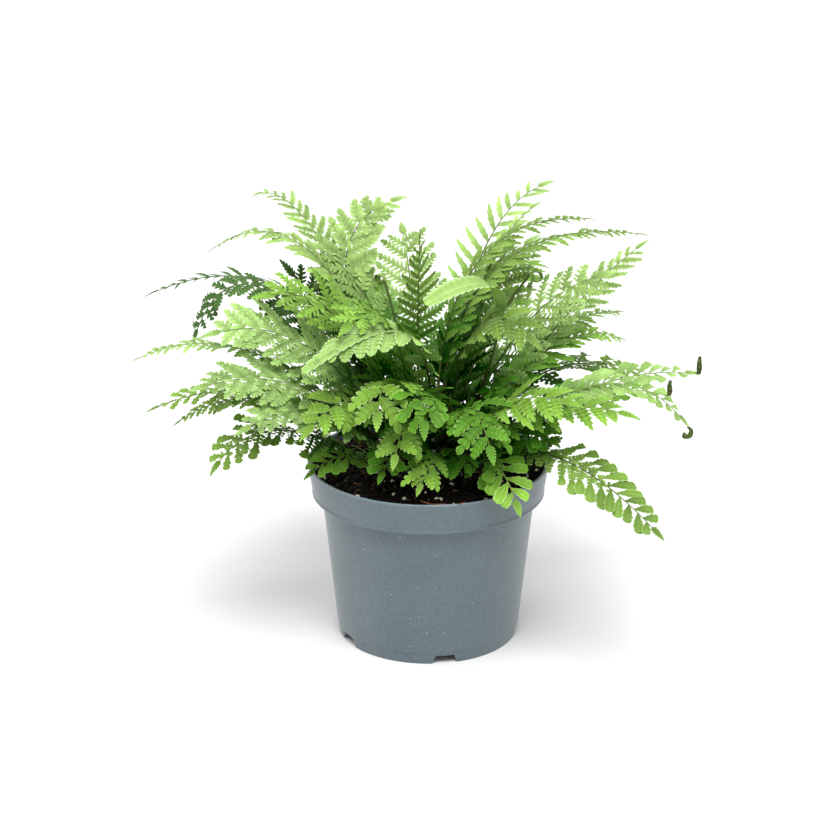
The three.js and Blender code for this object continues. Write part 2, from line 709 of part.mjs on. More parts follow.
/** The points of a crozier: the top of a rising shaft, then a curl that tightens. */
function crozierPoints(crozier, arch) {
  const along = arch.getTangentAt(1);
  const out = new THREE.Vector3(along.x, along.y, 0).normalize();
  const inwards = new THREE.Vector3().crossVectors(sideOf(out), along).normalize().negate();
  const centre = arch.getPointAt(1).addScaledVector(inwards, crozier.curl);
  const points = Array.from({ length: CROZIER_SHAFT_STEPS }, (_, step) => (
    arch.getPointAt(CROZIER_STALK + ((1 - CROZIER_STALK) * step) / CROZIER_SHAFT_STEPS)
  ));
  for (let step = 0; step <= CURL_STEPS; step += 1) {
    const share = step / CURL_STEPS;
    const angle = 2 * Math.PI * CURL_TURNS * share;
    const radius = crozier.curl * (1 - CURL_TIGHTENING * share);
    const point = centre.clone().addScaledVector(inwards, -Math.cos(angle) * radius);
    points.push(point.addScaledVector(along, Math.sin(angle) * radius));
  }
  return points;
}

function crozierSolid(crozier, arch) {
  const points = crozierPoints(crozier, arch);
  const radii = points.map((_, index) => (
    CROZIER_RADIUS * (1 - CROZIER_TAPER * (index / points.length))
  ));
  const heading = arch.getTangentAt(1);
  return solid(bar(points, radii, CROZIER_SIDES, sideOf(heading)));
}

// ---------------------------------------------------------------- the list of fronds

function backFronds() {
  const random = seeded(BACK_SEED);
  const within = (spread) => spread * (2 * random() - 1);
  return Array.from({ length: BACK_COUNT }, (_, index) => {
    const tier = BACK_TIERS[index % BACK_TIERS.length];
    const spread = (index + 0.5) / BACK_COUNT;
    const azimuth = THREE.MathUtils.lerp(BACK_FROM, BACK_TO, spread);
    const turn = azimuth + within(BACK_TURN_SPREAD);
    const reach = tier.tip[0] * (1 + within(BACK_REACH_SPREAD));
    const tip = polar(reach, turn, tier.tip[1] + within(BACK_RISE_SPREAD));
    const mid = polar(tier.mid[0], turn + within(BACK_TURN_SPREAD), tier.mid[1]);
    return { ...tier, tip: tip.toArray(), mid: mid.toArray(), roll: BACK_ROLL };
  });
}

function allFronds() {
  return [...SHOWN_FRONDS, ...backFronds()].map((frond, index) => ({
    stalk: USUAL_STALK_SHARE,
    roll: USUAL_ROLL,
    ...frond,
    name: `frond_${String(index + 1).padStart(2, "0")}`,
  }));
}

// ---------------------------------------------------------------- assembly

const group = new THREE.Group();

function addMesh(name, geometry, colour, roughness) {
  const material = new THREE.MeshStandardMaterial({ color: colour, roughness, metalness: 0 });
  const mesh = new THREE.Mesh(geometry, material);
  mesh.name = name;
  group.add(mesh);
}

const placed = new Placed();
const pot = buildPot();
const soil = buildSoil();
placed.add("pot", pot);
placed.add("soil", soil);
addMesh("pot", surface(pot), POT_COLOUR, 0.6);
addMesh("soil", surface(soil), SOIL_COLOUR, 0.95);

const fronds = allFronds();
let crown = crownLump();
placed.add("crown", crown);
fronds.forEach((frond) => {
  placeArch(frond, placed);
  crown = crown.add(frond.stalkSolid);
});

CROZIERS.forEach((crozier, index) => {
  const name = `crozier_${index + 1}`;
  const arch = archOf({ tip: crozier.bend, mid: crozier.mid });
  const shape = crozierSolid(crozier, arch);
  const stalk = stalkSolid({ stalk: CROZIER_STALK }, arch);
  crown = crown.add(stalk);
  placed.add("crown", stalk);
  placed.add(name, shape);
  addMesh(name, surface(shape), CROZIER_COLOUR, 0.6);
});

addMesh("crown", surface(crown), STALK_COLOUR, 0.7);

fronds.forEach((frond) => placeLeaflets(frond, placed));
fronds.forEach((frond) => {
  const blade = bladeGeometry(frond, frond.leaflets);
  addMesh(frond.name, surface(solid(blade)), LEAF_COLOURS[frond.leaf], 0.55);
});

export default group;
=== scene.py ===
import math

import bpy
import numpy as np
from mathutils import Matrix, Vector


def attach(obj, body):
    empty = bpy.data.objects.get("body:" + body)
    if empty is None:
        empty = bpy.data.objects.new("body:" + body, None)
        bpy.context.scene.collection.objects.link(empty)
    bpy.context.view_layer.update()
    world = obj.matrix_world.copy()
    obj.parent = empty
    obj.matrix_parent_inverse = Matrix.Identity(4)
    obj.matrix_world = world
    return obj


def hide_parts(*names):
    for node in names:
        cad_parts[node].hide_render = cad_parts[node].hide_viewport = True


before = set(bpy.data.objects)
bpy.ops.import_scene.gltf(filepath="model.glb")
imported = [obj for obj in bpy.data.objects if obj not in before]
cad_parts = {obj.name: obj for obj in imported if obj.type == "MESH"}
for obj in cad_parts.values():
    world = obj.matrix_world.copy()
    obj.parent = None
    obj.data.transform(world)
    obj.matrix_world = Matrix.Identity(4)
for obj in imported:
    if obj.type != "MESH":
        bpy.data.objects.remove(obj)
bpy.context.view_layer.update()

# Sizes are in millimetres and angles in degrees. Meshes are scaled to metres when made.
MM = 0.001
UP = np.array([0.0, 0.0, 1.0])
RIGHT = np.array([1.0, 0.0, 0.0])

# ---------------------------------------------------------------- driving dimensions

RIM_RADIUS = 60.0
POT_HEIGHT = 90.5
WALL = 1.7
COLLAR_FOOT = 74.5
COLLAR_FOOT_RADIUS = 57.4
COLLAR_BEAD = 0.4
BODY_TOP_RADIUS = 53.0
BASE_RADIUS = 45.0
BASE_DRAFT = 0.5
FOOT_RING_WIDTH = 6.0
FOOT_BAND_HEIGHT = 5.5
FOOT_BAND_STEP = 0.35
FLOOR_RISE = 3.2
FLOOR_TOP = 5.2
CENTRE_PAD_RADIUS = 15.0
NOTCH_AZIMUTHS = -79.5 + 72.0 * np.arange(5)
NOTCH_WIDTH = 11.0
NOTCH_HEIGHT = 4.0
NOTCH_TAPER = 1.0
DRAIN_COUNT = 6
DRAIN_RADIUS = 3.5
DRAIN_CIRCLE_RADIUS = 27.0

SOIL_EDGE = 85.5
SOIL_TOP = 88.5
SOIL_SWELL = 3.0
SOIL_BUMP = 0.7
SOIL_WAVES = (0.31, 0.27, 0.17)
SOIL_GAP = 0.3

CROWN_RADIUS = 24.0
CROWN_DEPTH = 28.0
CROWN_RISE = 3.0
CROWN_FOOT_SHARE = 0.7

STALK_FOOT_DEPTH = 6.0
STALK_FOOT_NEAREST = 0.1
STALK_FOOT_SPREAD = 0.72
STALK_FOOT_RADIUS = 1.05
STALK_TOP_RADIUS = 0.62
RIB_TIP_RADIUS = 0.16
STALK_NECK = 0.3
USUAL_STALK_SHARE = 0.34

LEAF_ANGLES = (66.0, 46.0)
LEAF_LIFT = 5.0
LEAF_THICKNESS = 0.24
USUAL_ROLL = 34.0
ROLLED_BY = 0.625
BLADE_FOOT_FULLNESS = 0.95
BLADE_SWELL = 1.1
FROND_SEEDS = 100

# ---------------------------------------------------------------- fronds


def frond_of(tip, mid, width, cut, leaf, stalk=USUAL_STALK_SHARE, roll=USUAL_ROLL, lit=1.0):
    """A frond's measures by name. tip is where it ends, mid the point halfway along its
    arch, width the blade's greatest width, stalk the bare share of the length, and roll
    how many degrees a blade that grows sideways has turned its upper face to the front.
    cut names how its leaflets are cut, leaf its green, and lit the share of the painted
    shade inside the clump that falls on it."""
    return dict(tip=tip, mid=mid, width=width, cut=cut, leaf=leaf, stalk=stalk, roll=roll, lit=lit)


FRONDS = [
    # left side, from the top down
    frond_of((-90, 70, 205), (-53, 45, 188), 32, "feather", "soft", roll=12),
    frond_of((-109, 30, 188), (-53, 18, 187), 28, "dense", "soft", roll=0),
    frond_of((-138, 2, 174), (-62, 5, 172), 26, "narrow", "dark", roll=0),
    frond_of((-113, -20, 157), (-75, -9, 179), 28, "jagged", "dark", roll=25),
    frond_of((-84, -28, 182), (-38, -12, 164), 54, "lace", "light"),
    frond_of((-108, -38, 166), (-56, -24, 156), 52, "comb", "pale"),
    frond_of((-142, -32, 152), (-79, -20, 151), 20, "dense", "pale", roll=0),
    frond_of((-112, -62, 148), (-58, -38, 141), 46, "comb", "pale", roll=30),
    frond_of((-134, -46, 132), (-72, -29, 134), 28, "mixed", "olive", roll=6),
    frond_of((-90, -73, 130), (-50, -45, 131), 38, "comb", "pale"),
    frond_of((-125, -12, 112), (-75, -6, 123), 22, "dense", "olive", roll=10),
    frond_of((-103, -58, 104), (-70, -35, 119), 32, "mixed", "olive", stalk=0.42, roll=24),
    # top, from left to right
    frond_of((-10, 60, 208), (-41, 27, 177), 42, "comb", "soft", stalk=0.42, lit=0.5),
    frond_of((-42, -56, 172), (-18, -21, 166), 50, "lace", "light", lit=0.35),
    frond_of((-4, -6, 211), (-5, -4, 150), 26, "feather", "olive", stalk=0.6),
    frond_of((52, -54, 165), (23, -24, 166), 44, "saw", "olive"),
    frond_of((64, 70, 213.4), (25, 40, 180), 32, "narrow", "soft", stalk=0.5, roll=24),
    frond_of((56, 40, 211), (27, 26, 173), 16, "mixed", "soft", stalk=0.45, roll=10),
    frond_of((82, 30, 205), (20, 13, 182), 24, "dense", "olive", roll=0),
    frond_of((107, 16, 201), (28, 5, 182), 24, "dense", "olive", roll=0),
    frond_of((110, 40, 192), (65, 22, 154), 36, "feather", "soft", stalk=0.45, roll=15, lit=0.5),
    # right side, from the top down
    frond_of((92, 2, 186), (46, -2, 160), 50, "lace", "soft", lit=0.5),
    frond_of((100, 52, 150), (56, 30, 140), 26, "dense", "soft", roll=8),
    frond_of((99, 26, 143), (57, 12, 142), 28, "dense", "light", roll=10, lit=0.5),
    frond_of((132, -17, 141), (74, -14, 131), 24, "fan", "pale", stalk=0.4, roll=22),
    frond_of((124, -42, 122), (78, -28, 139), 24, "fan", "pale", stalk=0.4, roll=16),
    frond_of((99, -62, 134), (53, -41, 130), 40, "saw", "light", roll=20),
    frond_of((119, 6, 121), (74, 2, 120), 26, "fan", "light", roll=12, lit=0.5),
    frond_of((109, -90, 85), (56, -43, 110), 30, "crenate", "olive", stalk=0.42),
    # front, facing the viewer
    frond_of((-59, -62, 157), (-8, -34, 165), 28, "lobed", "pale", roll=12, lit=0.25, stalk=0.48),
    frond_of((-24, -76, 133), (-18, -35, 143), 44, "jagged", "light"),
    frond_of((-2, -48, 186), (34, -26, 178), 28, "strap", "pale", stalk=0.6, roll=12, lit=0.1),
    frond_of((72, -66, 141), (36, -42, 134), 46, "saw", "light", roll=26),
    frond_of((-2, -80, 130), (-3, -42, 140), 42, "mixed", "mid"),
    frond_of((-60, -70, 126), (-31, -34, 133), 40, "saw", "light"),
    frond_of((30, -80, 118), (18, -39, 132), 42, "jagged", "mid"),
    frond_of((-17, -74, 113), (-9, -37, 125), 36, "jagged", "light"),
    # low ones over the soil and short ones inside
    frond_of((-60, -40, 95), (-37, -24, 102), 26, "crenate", "light", stalk=0.2, lit=0.12),
    frond_of((-24, -61, 101), (-13, -34, 109), 28, "crenate", "mid", stalk=0.3, lit=0.5),
    frond_of((-6, -66, 97), (3, -40, 109), 28, "jagged", "light", stalk=0.3),
    frond_of((20, -56, 103), (12, -32, 108), 30, "jagged", "mid", stalk=0.3),
    frond_of((43, -70, 88), (29, -38, 105), 34, "crenate", "light", stalk=0.25),
    frond_of((65, -28, 99), (44, -12, 105), 30, "fan", "mid", stalk=0.3),
    frond_of((62, -52, 116), (40, -25, 114), 34, "mixed", "mid", stalk=0.3),
    frond_of((-33, -42, 115), (-21, -14, 116), 36, "saw", "mid", stalk=0.3),
    frond_of((42, -30, 130), (25, -9, 131), 36, "mixed", "mid"),
    frond_of((-74, 28, 185), (-50, 16, 155), 40, "lace", "dark"),
]

# The far side is filled by rule: three tiers of arch, each given by the distance from
# the axis and the height of its tip and of its middle, its width, its cut and its green.
# Each draw is the one before times a factor, plus a step, within a range.
BACK_COUNT = 8
BACK_FROM = 18.0
BACK_TO = 162.0
BACK_SEED = 7
DRAW_FACTOR, DRAW_STEP, DRAW_RANGE = 1664525, 1013904223, 2 ** 32
BACK_TURN_SPREAD = 4.0
BACK_REACH_SPREAD = 0.06
BACK_RISE_SPREAD = 4.0
BACK_ROLL = 10.0
BACK_TIERS = [
    ((118, 116), (63, 124), 44, "mixed", "olive"),
    ((72, 192), (33, 162), 48, "lace", "soft"),
    ((112, 158), (57, 150), 48, "saw", "light"),
]

# How a frond's leaflets are cut. spacing is between pairs of leaflets on a wide blade,
# breadth a leaflet's half width, and droop how far its end hangs. split is the share of
# it that is divided to its rib, at the frond's foot and tip, and pip holds the spacing,
# length and half width of the small divisions and how far out they are fullest. web is
# the half width of the strip of leaf along the rib. end shapes the undivided end, which
# is fullest near its foot where the first number is small and near its tip where it is
# large, and ends in a point where the second is large. teeth holds their number, depth,
# forward lean and form. core is the half width of a frond's own blade, where it is one
# joined leaf, and wander how much more than usual the leaflets' angles and lengths differ.
CUTS = {
    "feather": dict(spacing=7.0, breadth=2.0, droop=0.16, split=(0.94, 0.8), web=0.8,
                    pip=(1.9, 3.4, 0.95, 0.35), end=(0.5, 0.8), teeth=(4, 0.45, 0.8, "saw")),
    "comb": dict(spacing=7.4, breadth=2.5, droop=0.16, split=(0.9, 0.66), web=1.2,
                 pip=(2.45, 5.0, 1.15, 0.35), end=(0.45, 0.8), teeth=(5, 0.42, 0.8, "saw")),
    "lace": dict(spacing=8.2, breadth=2.0, droop=0.14, split=(0.92, 0.74), web=1.0,
                 pip=(2.5, 4.6, 0.78, 0.3), end=(0.45, 0.8), teeth=(5, 0.42, 0.8, "saw")),
    "mixed": dict(spacing=7.8, breadth=3.1, droop=0.24, split=(0.78, 0.2), web=0.8, wander=1.6,
                  pip=(2.8, 4.5, 1.35, 0.95), end=(0.85, 0.42), teeth=(3, 0.34, 0.35, "round")),
    "jagged": dict(spacing=8.2, breadth=4.1, droop=0.5, split=(0.6, -0.1), web=1.2, wander=2.0,
                   pip=(3.0, 5.0, 1.45, 0.6), end=(0.42, 0.62), teeth=(5, 0.62, 0.7, "round")),
    "saw": dict(spacing=8.4, breadth=3.9, droop=0.34, split=(0.2, 0.0), web=1.2,
                pip=(2.9, 5.0, 1.5, 0.4), end=(0.36, 0.8), teeth=(6, 0.46, 0.9, "saw")),
    "fan": dict(spacing=9.6, breadth=4.4, droop=0.12, web=0.6,
                end=(1.2, 0.3), teeth=(4, 0.22, 0.25, "round")),
    "crenate": dict(spacing=8.4, breadth=3.9, droop=0.16, split=(1.05, -0.55), web=0.8,
                    pip=(2.5, 4.2, 1.35, 0.9), end=(0.9, 0.36), teeth=(4, 0.2, 0.3, "round")),
    "dense": dict(spacing=6.2, breadth=3.5, droop=0.3, web=1.0,
                  end=(0.5, 0.6), teeth=(4, 0.4, 0.6, "saw")),
    "narrow": dict(spacing=9.0, breadth=2.2, droop=0.2, web=1.0,
                   end=(0.5, 0.7), teeth=(4, 0.3, 0.6, "saw")),
    "lobed": dict(spacing=12.0, breadth=6.8, droop=0.62, web=1.0, core=5.2,
                  end=(0.45, 0.5), teeth=(7, 0.24, 0.6, "saw")),
    "strap": dict(spacing=9.0, droop=0.16, core=7.8),
}
UNDIVIDED = (0.0, 0.0)
SPLIT_FALL = 0.8
# Leaflets of up to 4 mm aren't divided, and those of 10 mm are divided in full.
SPLIT_FROM = 4.0
SPLIT_WITHIN = 6.0

# The spacing shrinks on blades narrower than this, down to a share.
WIDE_BLADE = 42.0
CLOSEST_SPACING = 0.6
SCALE_LIMITS = (0.4, 1.1)

# Pairs are counted from the blade's foot: where the first one is, the stagger of a pair's
# two leaflets, how many pairs the tip takes the place of, and the room it has.
FEWEST_PAIRS = 5
FIRST_PAIR = 0.25
STAGGER = 0.22
TIP_PAIRS = 1.2
TIP_ROOM = 1.6

# Shorter leaflets on the stalk below a blade's foot, where the stalk is long enough.
LOW_PAIRS = 3
LOW_SHORTENING = 2.2
FOOT_LENGTH = 0.85
LOWEST_LENGTH = 0.35
LOWEST_FOOT = 0.32

# How far a leaflet sweeps towards the tip, and how much leaflets and small divisions
# differ, either way: in degrees for their turn and lift, else as shares.
SWEEP = 0.1
LEAFLET_SPREAD = dict(turn=5, lift=14, length=0.1, droop=0.5, sweep=0.05, tint=0.3)
PIP_SPREAD = dict(turn=5, lift=14, length=0.1, half=0.12, droop=0.06, sweep=0.05, tint=0.08)
FROND_TINT_SPREAD = 0.15

# A tooth's places along the edge and how far out each is. A round one bulges between
# two clefts, and a saw's rises to its point and drops back at once.
TOOTH_FORMS = {
    "round": ((0.0, 0.36, 0.68, 0.92), (0.0, 0.78, 1.0, 0.7)),
    "saw": ((0.0, 0.5, 0.9), (0.0, 0.62, 1.0)),
}
EDGE_START = 0.03
EDGE_SPAN = 0.95
PLAIN_EDGE = (np.array([0.1, 0.4, 0.72, 0.93]), np.ones(4))

# A blade's sides fold up by a share of its half width. A broad one also has a pleat on
# each side, which rises by a share of the fold, and a little more at each tooth.
SIDE_FOLD = 0.16
PLEAT_AT = 0.55
PLEAT_RISE = 0.5
PLEAT_DEPTH = 0.12
PLEATED_FROM = 2.0
MIDLINE_RISE = 0.6
# The places across a blade's width of the points round it, for the pattern on it.
ACROSS_BROAD = np.array([1.0, 0.78, 0.5, 0.22, 0.0, 0.5])
ACROSS_SMALL = np.array([1.0, 0.5, 0.0, 0.5])

MIDRIB_RINGS = 26
MIDRIB_END = 0.995
# The share of the clump's painted shade that a midrib takes.
MIDRIB_SHADE = 0.6

# The strip of leaf along a rib runs a little past the divisions.
WEB_PAST_SPLIT = 0.12
WEB_LONGEST = 0.95
WEB_WIDEST = 0.1
WEB_SHAPE = (0.1, 0.25)

# The undivided ends. Those below the first length have fewer and deeper teeth.
SHORT_LEAFLET = 8.5
SHORT_TEETH = 3
SHORT_DEEPER = 1.3
END_OVERLAP = 0.4
END_INSET = 0.03
END_FULLNESS = 0.7
FULLER_BY = 0.4
FULLER_WITHIN = 14
FULLNESS_LIMITS = (0.6, 1.12)
END_DROOP = 0.8
BROADEST_END = 0.44

# The leaflet at a frond's tip: where it starts and its length, in pairs, and its teeth's
# number, depth and lean.
LAST_FROM = 1.55
LAST_LENGTH = 1.5
LAST_WIDTH = 0.22
LAST_DROOP = 0.06
LAST_SHAPE = (0.3, 0.9)
LAST_TEETH = (6, 0.5, 0.7)

# The small divisions: their angles to the rib at its foot and tip, how much shorter the
# outer ones are and the first one longer, and from which leaflet on they are full size.
PIP_ANGLES = (60.0, 44.0)
PIP_LIFT = 6
PIP_TAPER = 0.42
PIP_STAGGER = 0.2
PIP_SHORTENING = 0.45
FIRST_PIP_LONGER = 1.3
PIP_FULL_FROM = 12
PIP_SMALLEST = 0.55
PIP_DROOP = 0.1

# A joined leaf's edge, the powers of its outline, and where on the arch it ends.
JOINED_TEETH = 19
JOINED_DEPTH = 0.24
JOINED_LEAN = 0.5
JOINED_SHAPE = (0.9, 0.38)
JOINED_END = 0.998

# The clump as an egg shape, for the shade painted into the leaves' colour inside it.
# Leaves get no painted shade from the first share of its half size outwards, and full
# painted shade the second share further in. A leaflet gets from the least to the most
# of that painted shade.
CLUMP_MIDDLE = np.array([0.0, 12.0, 88.0])
CLUMP_HALF_SIZE = np.array([112.0, 80.0, 100.0])
SHADE_FROM = 0.88
SHADE_REACH = 0.45
SHADOW_SHARE = (0.3, 1.5)

# The crown from its foot to its top: places on its rise, and its radius and level there.
CROWN_STEPS = (0, 0.45, 0.7, 1)
CROWN_SHARES = (CROWN_FOOT_SHARE, 1.0, 0.75, 0.04)
CROWN_LEVELS = (SOIL_TOP - CROWN_DEPTH, SOIL_TOP, SOIL_TOP + 0.6 * CROWN_RISE, SOIL_TOP + CROWN_RISE)
CROWN_SCALE_SIZES = (1.6, 4.0)
CROWN_SCALE_RISE = 0.9

# A stalk's age goes from 0 at its foot, near black, to 1 at the blade, green.
CROWN_AGE = -0.3
GREEN_STALK = 0.5
STALK_PAST_BLADE = 0.004

# Curled young fronds: the point where the curl starts, the point halfway along the
# shaft's arch, and the curl's radius.
CROZIERS = [
    dict(bend=(50, 9, 184), mid=(22, 4, 138), curl=3.2),
    dict(bend=(-22, 26, 176), mid=(-11, 13, 132), curl=2.9),
]
CROZIER_STALK = 0.62
CROZIER_RADII = (0.5, 1.3)
SHAFT_RINGS = 10
CURL_RINGS = 40
CURL_TURNS = 0.95
CURL_TIGHTENING = 0.62
SHAFT_END = 0.98
# How brown its shaft and its curl are, and its scales: the first one's place on the curl,
# how far aside they start, how much they reach ahead, outwards and aside, their lengths
# from the first to the last, half width, droop, shape and tint.
CROZIER_BROWN = (0.9, 0.05)
CROZIER_TINT = 0.9
FIRST_SCALE = 3
SCALE_ASIDE = 0.4
SCALE_REACH = (0.8, 0.35, 0.7)
SCALE_LENGTHS = (2.6, 1.3)
SCALE_WIDTH = 0.34
SCALE_TINT = 0.6
SCALE_DROOP = -0.35
SCALE_SHAPE = (0.7, 0.5)

# Frond tips on the right that have dried and curled up, from the green end outwards.
WITHERED_TIPS = {
    "withered_tip_25": [(128.5, -16.8, 141.4), (130, -16.9, 141.6), (130.3, -17, 144),
                        (130.2, -17, 147), (130.4, -17, 150)],
    "withered_tip_26": [(122.8, -41.6, 123.5), (124.6, -42, 121.6), (124, -42, 119),
                        (121.6, -42, 118.6), (121.4, -42, 120.4)],
    "withered_tip_28": [(116.5, 6, 122), (118.4, 6, 121.8), (119, 6, 124), (118.8, 6, 127),
                        (119.2, 6, 129.6)],
}
WITHERED_RADII = (0.5, 1.0, 1.4, 1.2, 0.7)

# A bare rootlet that lies on the soil by the pot's front rim.
ROOTLET = [(-4, -50, 88.6), (2, -53.5, 88.3), (7, -55, 88.8), (12, -57.5, 89.6), (17, -58.6, 91.4)]
ROOTLET_RADII = (0.3, 0.45, 0.5, 0.35, 0.15)

# ---------------------------------------------------------------- colours

# Each green's upper face, its lighter edge, the light that comes through, and its ribs.
# The greens are partly the fronds' own and partly painted light: the pale and soft greens
# of the upper and outer fronds are paler for the backlight on them.
LEAF_GREENS = {
    "pale": ("98ba66", "cadfae", "a4ca60", "7c944a"),
    "soft": ("9ec068", "d0e0ac", "a8cc66", "3e4a22"),
    "light": ("82ae3c", "bddb8a", "8cc03a", "76903e"),
    "mid": ("5c9424", "a6cc6e", "66a81e", "587428"),
    "olive": ("76983e", "b0ca84", "86aa48", "48582a"),
    "dark": ("4c7034", "93ae74", "5f8a3a", "2f3c1c"),
}
LIGHT_THROUGH_RIB = "30351a"
LET_THROUGH = 0.36
# Painted shade: inside the clump a green is multiplied by these two.
PAINTED_INNER_SHADES = ("90ff90", "265e16")


def linear(code):
    """An sRGB hex colour as linear light, with full alpha."""
    shares = [int(code[i:i + 2], 16) / 255 for i in (0, 2, 4)]
    return tuple(s / 12.92 if s <= 0.04045 else ((s + 0.055) / 1.055) ** 2.4 for s in shares) + (1.0,)


# ---------------------------------------------------------------- materials

COLOURS = {"data_type": "RGBA"}
TIMES = {"operation": "MULTIPLY"}
SMOOTH = {"interpolation_type": "SMOOTHSTEP"}


def add(tree, kind, settings, links):
    """Adds a shader node with its own settings. links holds what its inputs get, by name
    or number, or as a list in their order: a value, another node's socket, or another
    node, which stands for its first output."""
    made = tree.nodes.new("ShaderNode" + kind)
    for name, value in settings.items():
        setattr(made, name, value)
    for name, value in links.items() if isinstance(links, dict) else enumerate(links):
        if isinstance(value, bpy.types.Node):
            value = value.outputs[0]
        if isinstance(value, bpy.types.NodeSocket):
            tree.links.new(value, made.inputs[name])
        else:
            made.inputs[name].default_value = value
    return made


def new_material(name):
    """An empty material and its node tree."""
    material = bpy.data.materials.new(name)
    material.use_nodes = True
    tree = material.node_tree
    tree.nodes.clear()
    return material, tree


def painted_inner_shade(tree, colour, depth):
    """A colour with shade painted into it, darker by the depth inside the clump, its red
    and blue before its green."""
    for by in PAINTED_INNER_SHADES:
        colour = add(tree, "Mix", {**COLOURS, "blend_type": "MULTIPLY"},
                     {0: depth, 6: colour, 7: linear(by)}).outputs[2]
    return colour


def leaf_blade(name, upper, edge, through, rib):
    """Living fern leaf: thin, waxy but not shiny, so it gives a soft broad gloss and lets
    a little of the light through as yellow-green. Its edge and midline are paler, and
    shade is painted in darker towards each leaflet's foot. Its colour wanders from leaflet
    to leaflet and in patches of 4.5 mm, its veins are 1.1 mm apart, and shade is painted
    in as deep green inside the clump, where the gloss is also taken away."""
    material, tree = new_material(name)
    coordinates = add(tree, "TexCoord", {}, [])
    place = coordinates.outputs["Object"]
    uv = add(tree, "SeparateXYZ", {}, [coordinates.outputs["UV"]])
    across, along = uv.outputs[0], uv.outputs[1]
    tint, depth, stem = (add(tree, "Attribute", {"attribute_name": key}, []).outputs["Fac"]
                         for key in ("tint", "depth", "stem"))

    off = add(tree, "Math", {"operation": "SUBTRACT"}, [across, 0.5])
    rib_distance = add(tree, "Math", {"operation": "ABSOLUTE"}, [off])
    edge_share = add(tree, "MapRange", SMOOTH, [rib_distance, 0.34, 0.5, 0.0, 0.7])
    rib_share = add(tree, "MapRange", SMOOTH, [rib_distance, 0.0, 0.06, 0.4, 0.0])
    pale_share = add(tree, "Math", {"operation": "MAXIMUM"}, [edge_share, rib_share])
    face = add(tree, "Mix", COLOURS, {0: pale_share, 6: linear(upper), 7: linear(edge)})
    wander = add(tree, "MapRange", {}, [tint, 0.0, 1.0, 0.66, 1.28])
    patches = add(tree, "TexNoise", {}, {"Vector": place, "Scale": 220.0, "Detail": 3.0})
    spots = add(tree, "MapRange", {}, [patches, 0.3, 0.7, 0.88, 1.12])
    # Painted shade: each leaflet darker towards its foot by the rib, lighter to its tip.
    outwards = add(tree, "MapRange", {}, [along, 0.0, 0.8, 0.66, 1.14])
    patchy = add(tree, "Math", TIMES, [wander, spots])
    shade = add(tree, "Math", TIMES, [patchy, outwards])
    varied = add(tree, "HueSaturation", {}, {"Color": face.outputs[2], "Value": shade})
    ribbed = add(tree, "Mix", COLOURS, {0: stem, 6: varied, 7: linear(rib)})

    veins = add(tree, "TexNoise", {}, {"Vector": place, "Scale": 900.0, "Detail": 2.0})
    relief = add(tree, "Bump", {}, {"Height": veins, "Strength": 0.25, "Distance": 0.4 * MM})
    # Painted shade: the gloss fades out inside the clump.
    gloss = add(tree, "MapRange", {}, [depth, 0.0, 0.6, 0.18, 0.0])
    face_shader = add(tree, "BsdfPrincipled", {},
                      {"Base Color": painted_inner_shade(tree, ribbed.outputs[2], depth), "Roughness": 0.5,
                       "IOR": 1.42, "Specular IOR Level": gloss, "Normal": relief})
    # The light let through takes the same painted inner shade.
    light = add(tree, "Mix", COLOURS, {0: stem, 6: linear(through), 7: linear(LIGHT_THROUGH_RIB)})
    through_shader = add(tree, "BsdfTranslucent", {}, [painted_inner_shade(tree, light.outputs[2], depth)])
    both = add(tree, "MixShader", {}, [LET_THROUGH, face_shader, through_shader])
    add(tree, "OutputMaterial", {}, [both])
    return material


def wiry_stalk():
    """Fern stalk: hard, round and polished, near black at its foot and turning to brown
    and then green towards the blade, unevenly by streaks of 6 mm."""
    material, tree = new_material("wiry_stalk")
    place = add(tree, "TexCoord", {}, []).outputs["Object"]
    age = add(tree, "Attribute", {"attribute_name": "age"}, []).outputs["Fac"]
    streaks = add(tree, "TexNoise", {}, {"Vector": place, "Scale": 160.0, "Detail": 3.0})
    wobble = add(tree, "MapRange", {}, [streaks, 0.0, 1.0, -0.25, 0.25])
    share = add(tree, "Math", {"operation": "ADD"}, [age, wobble])
    ramp = add(tree, "ValToRGB", {}, [share])
    stops = ramp.color_ramp.elements
    stops[0].color = linear("17100b")
    stops[1].color = linear("4e5e26")
    stops.new(0.55).color = linear("2e2412")
    shader = add(tree, "BsdfPrincipled", {}, {"Base Color": ramp, "Roughness": 0.38, "IOR": 1.45})
    add(tree, "OutputMaterial", {}, [shader])
    return material


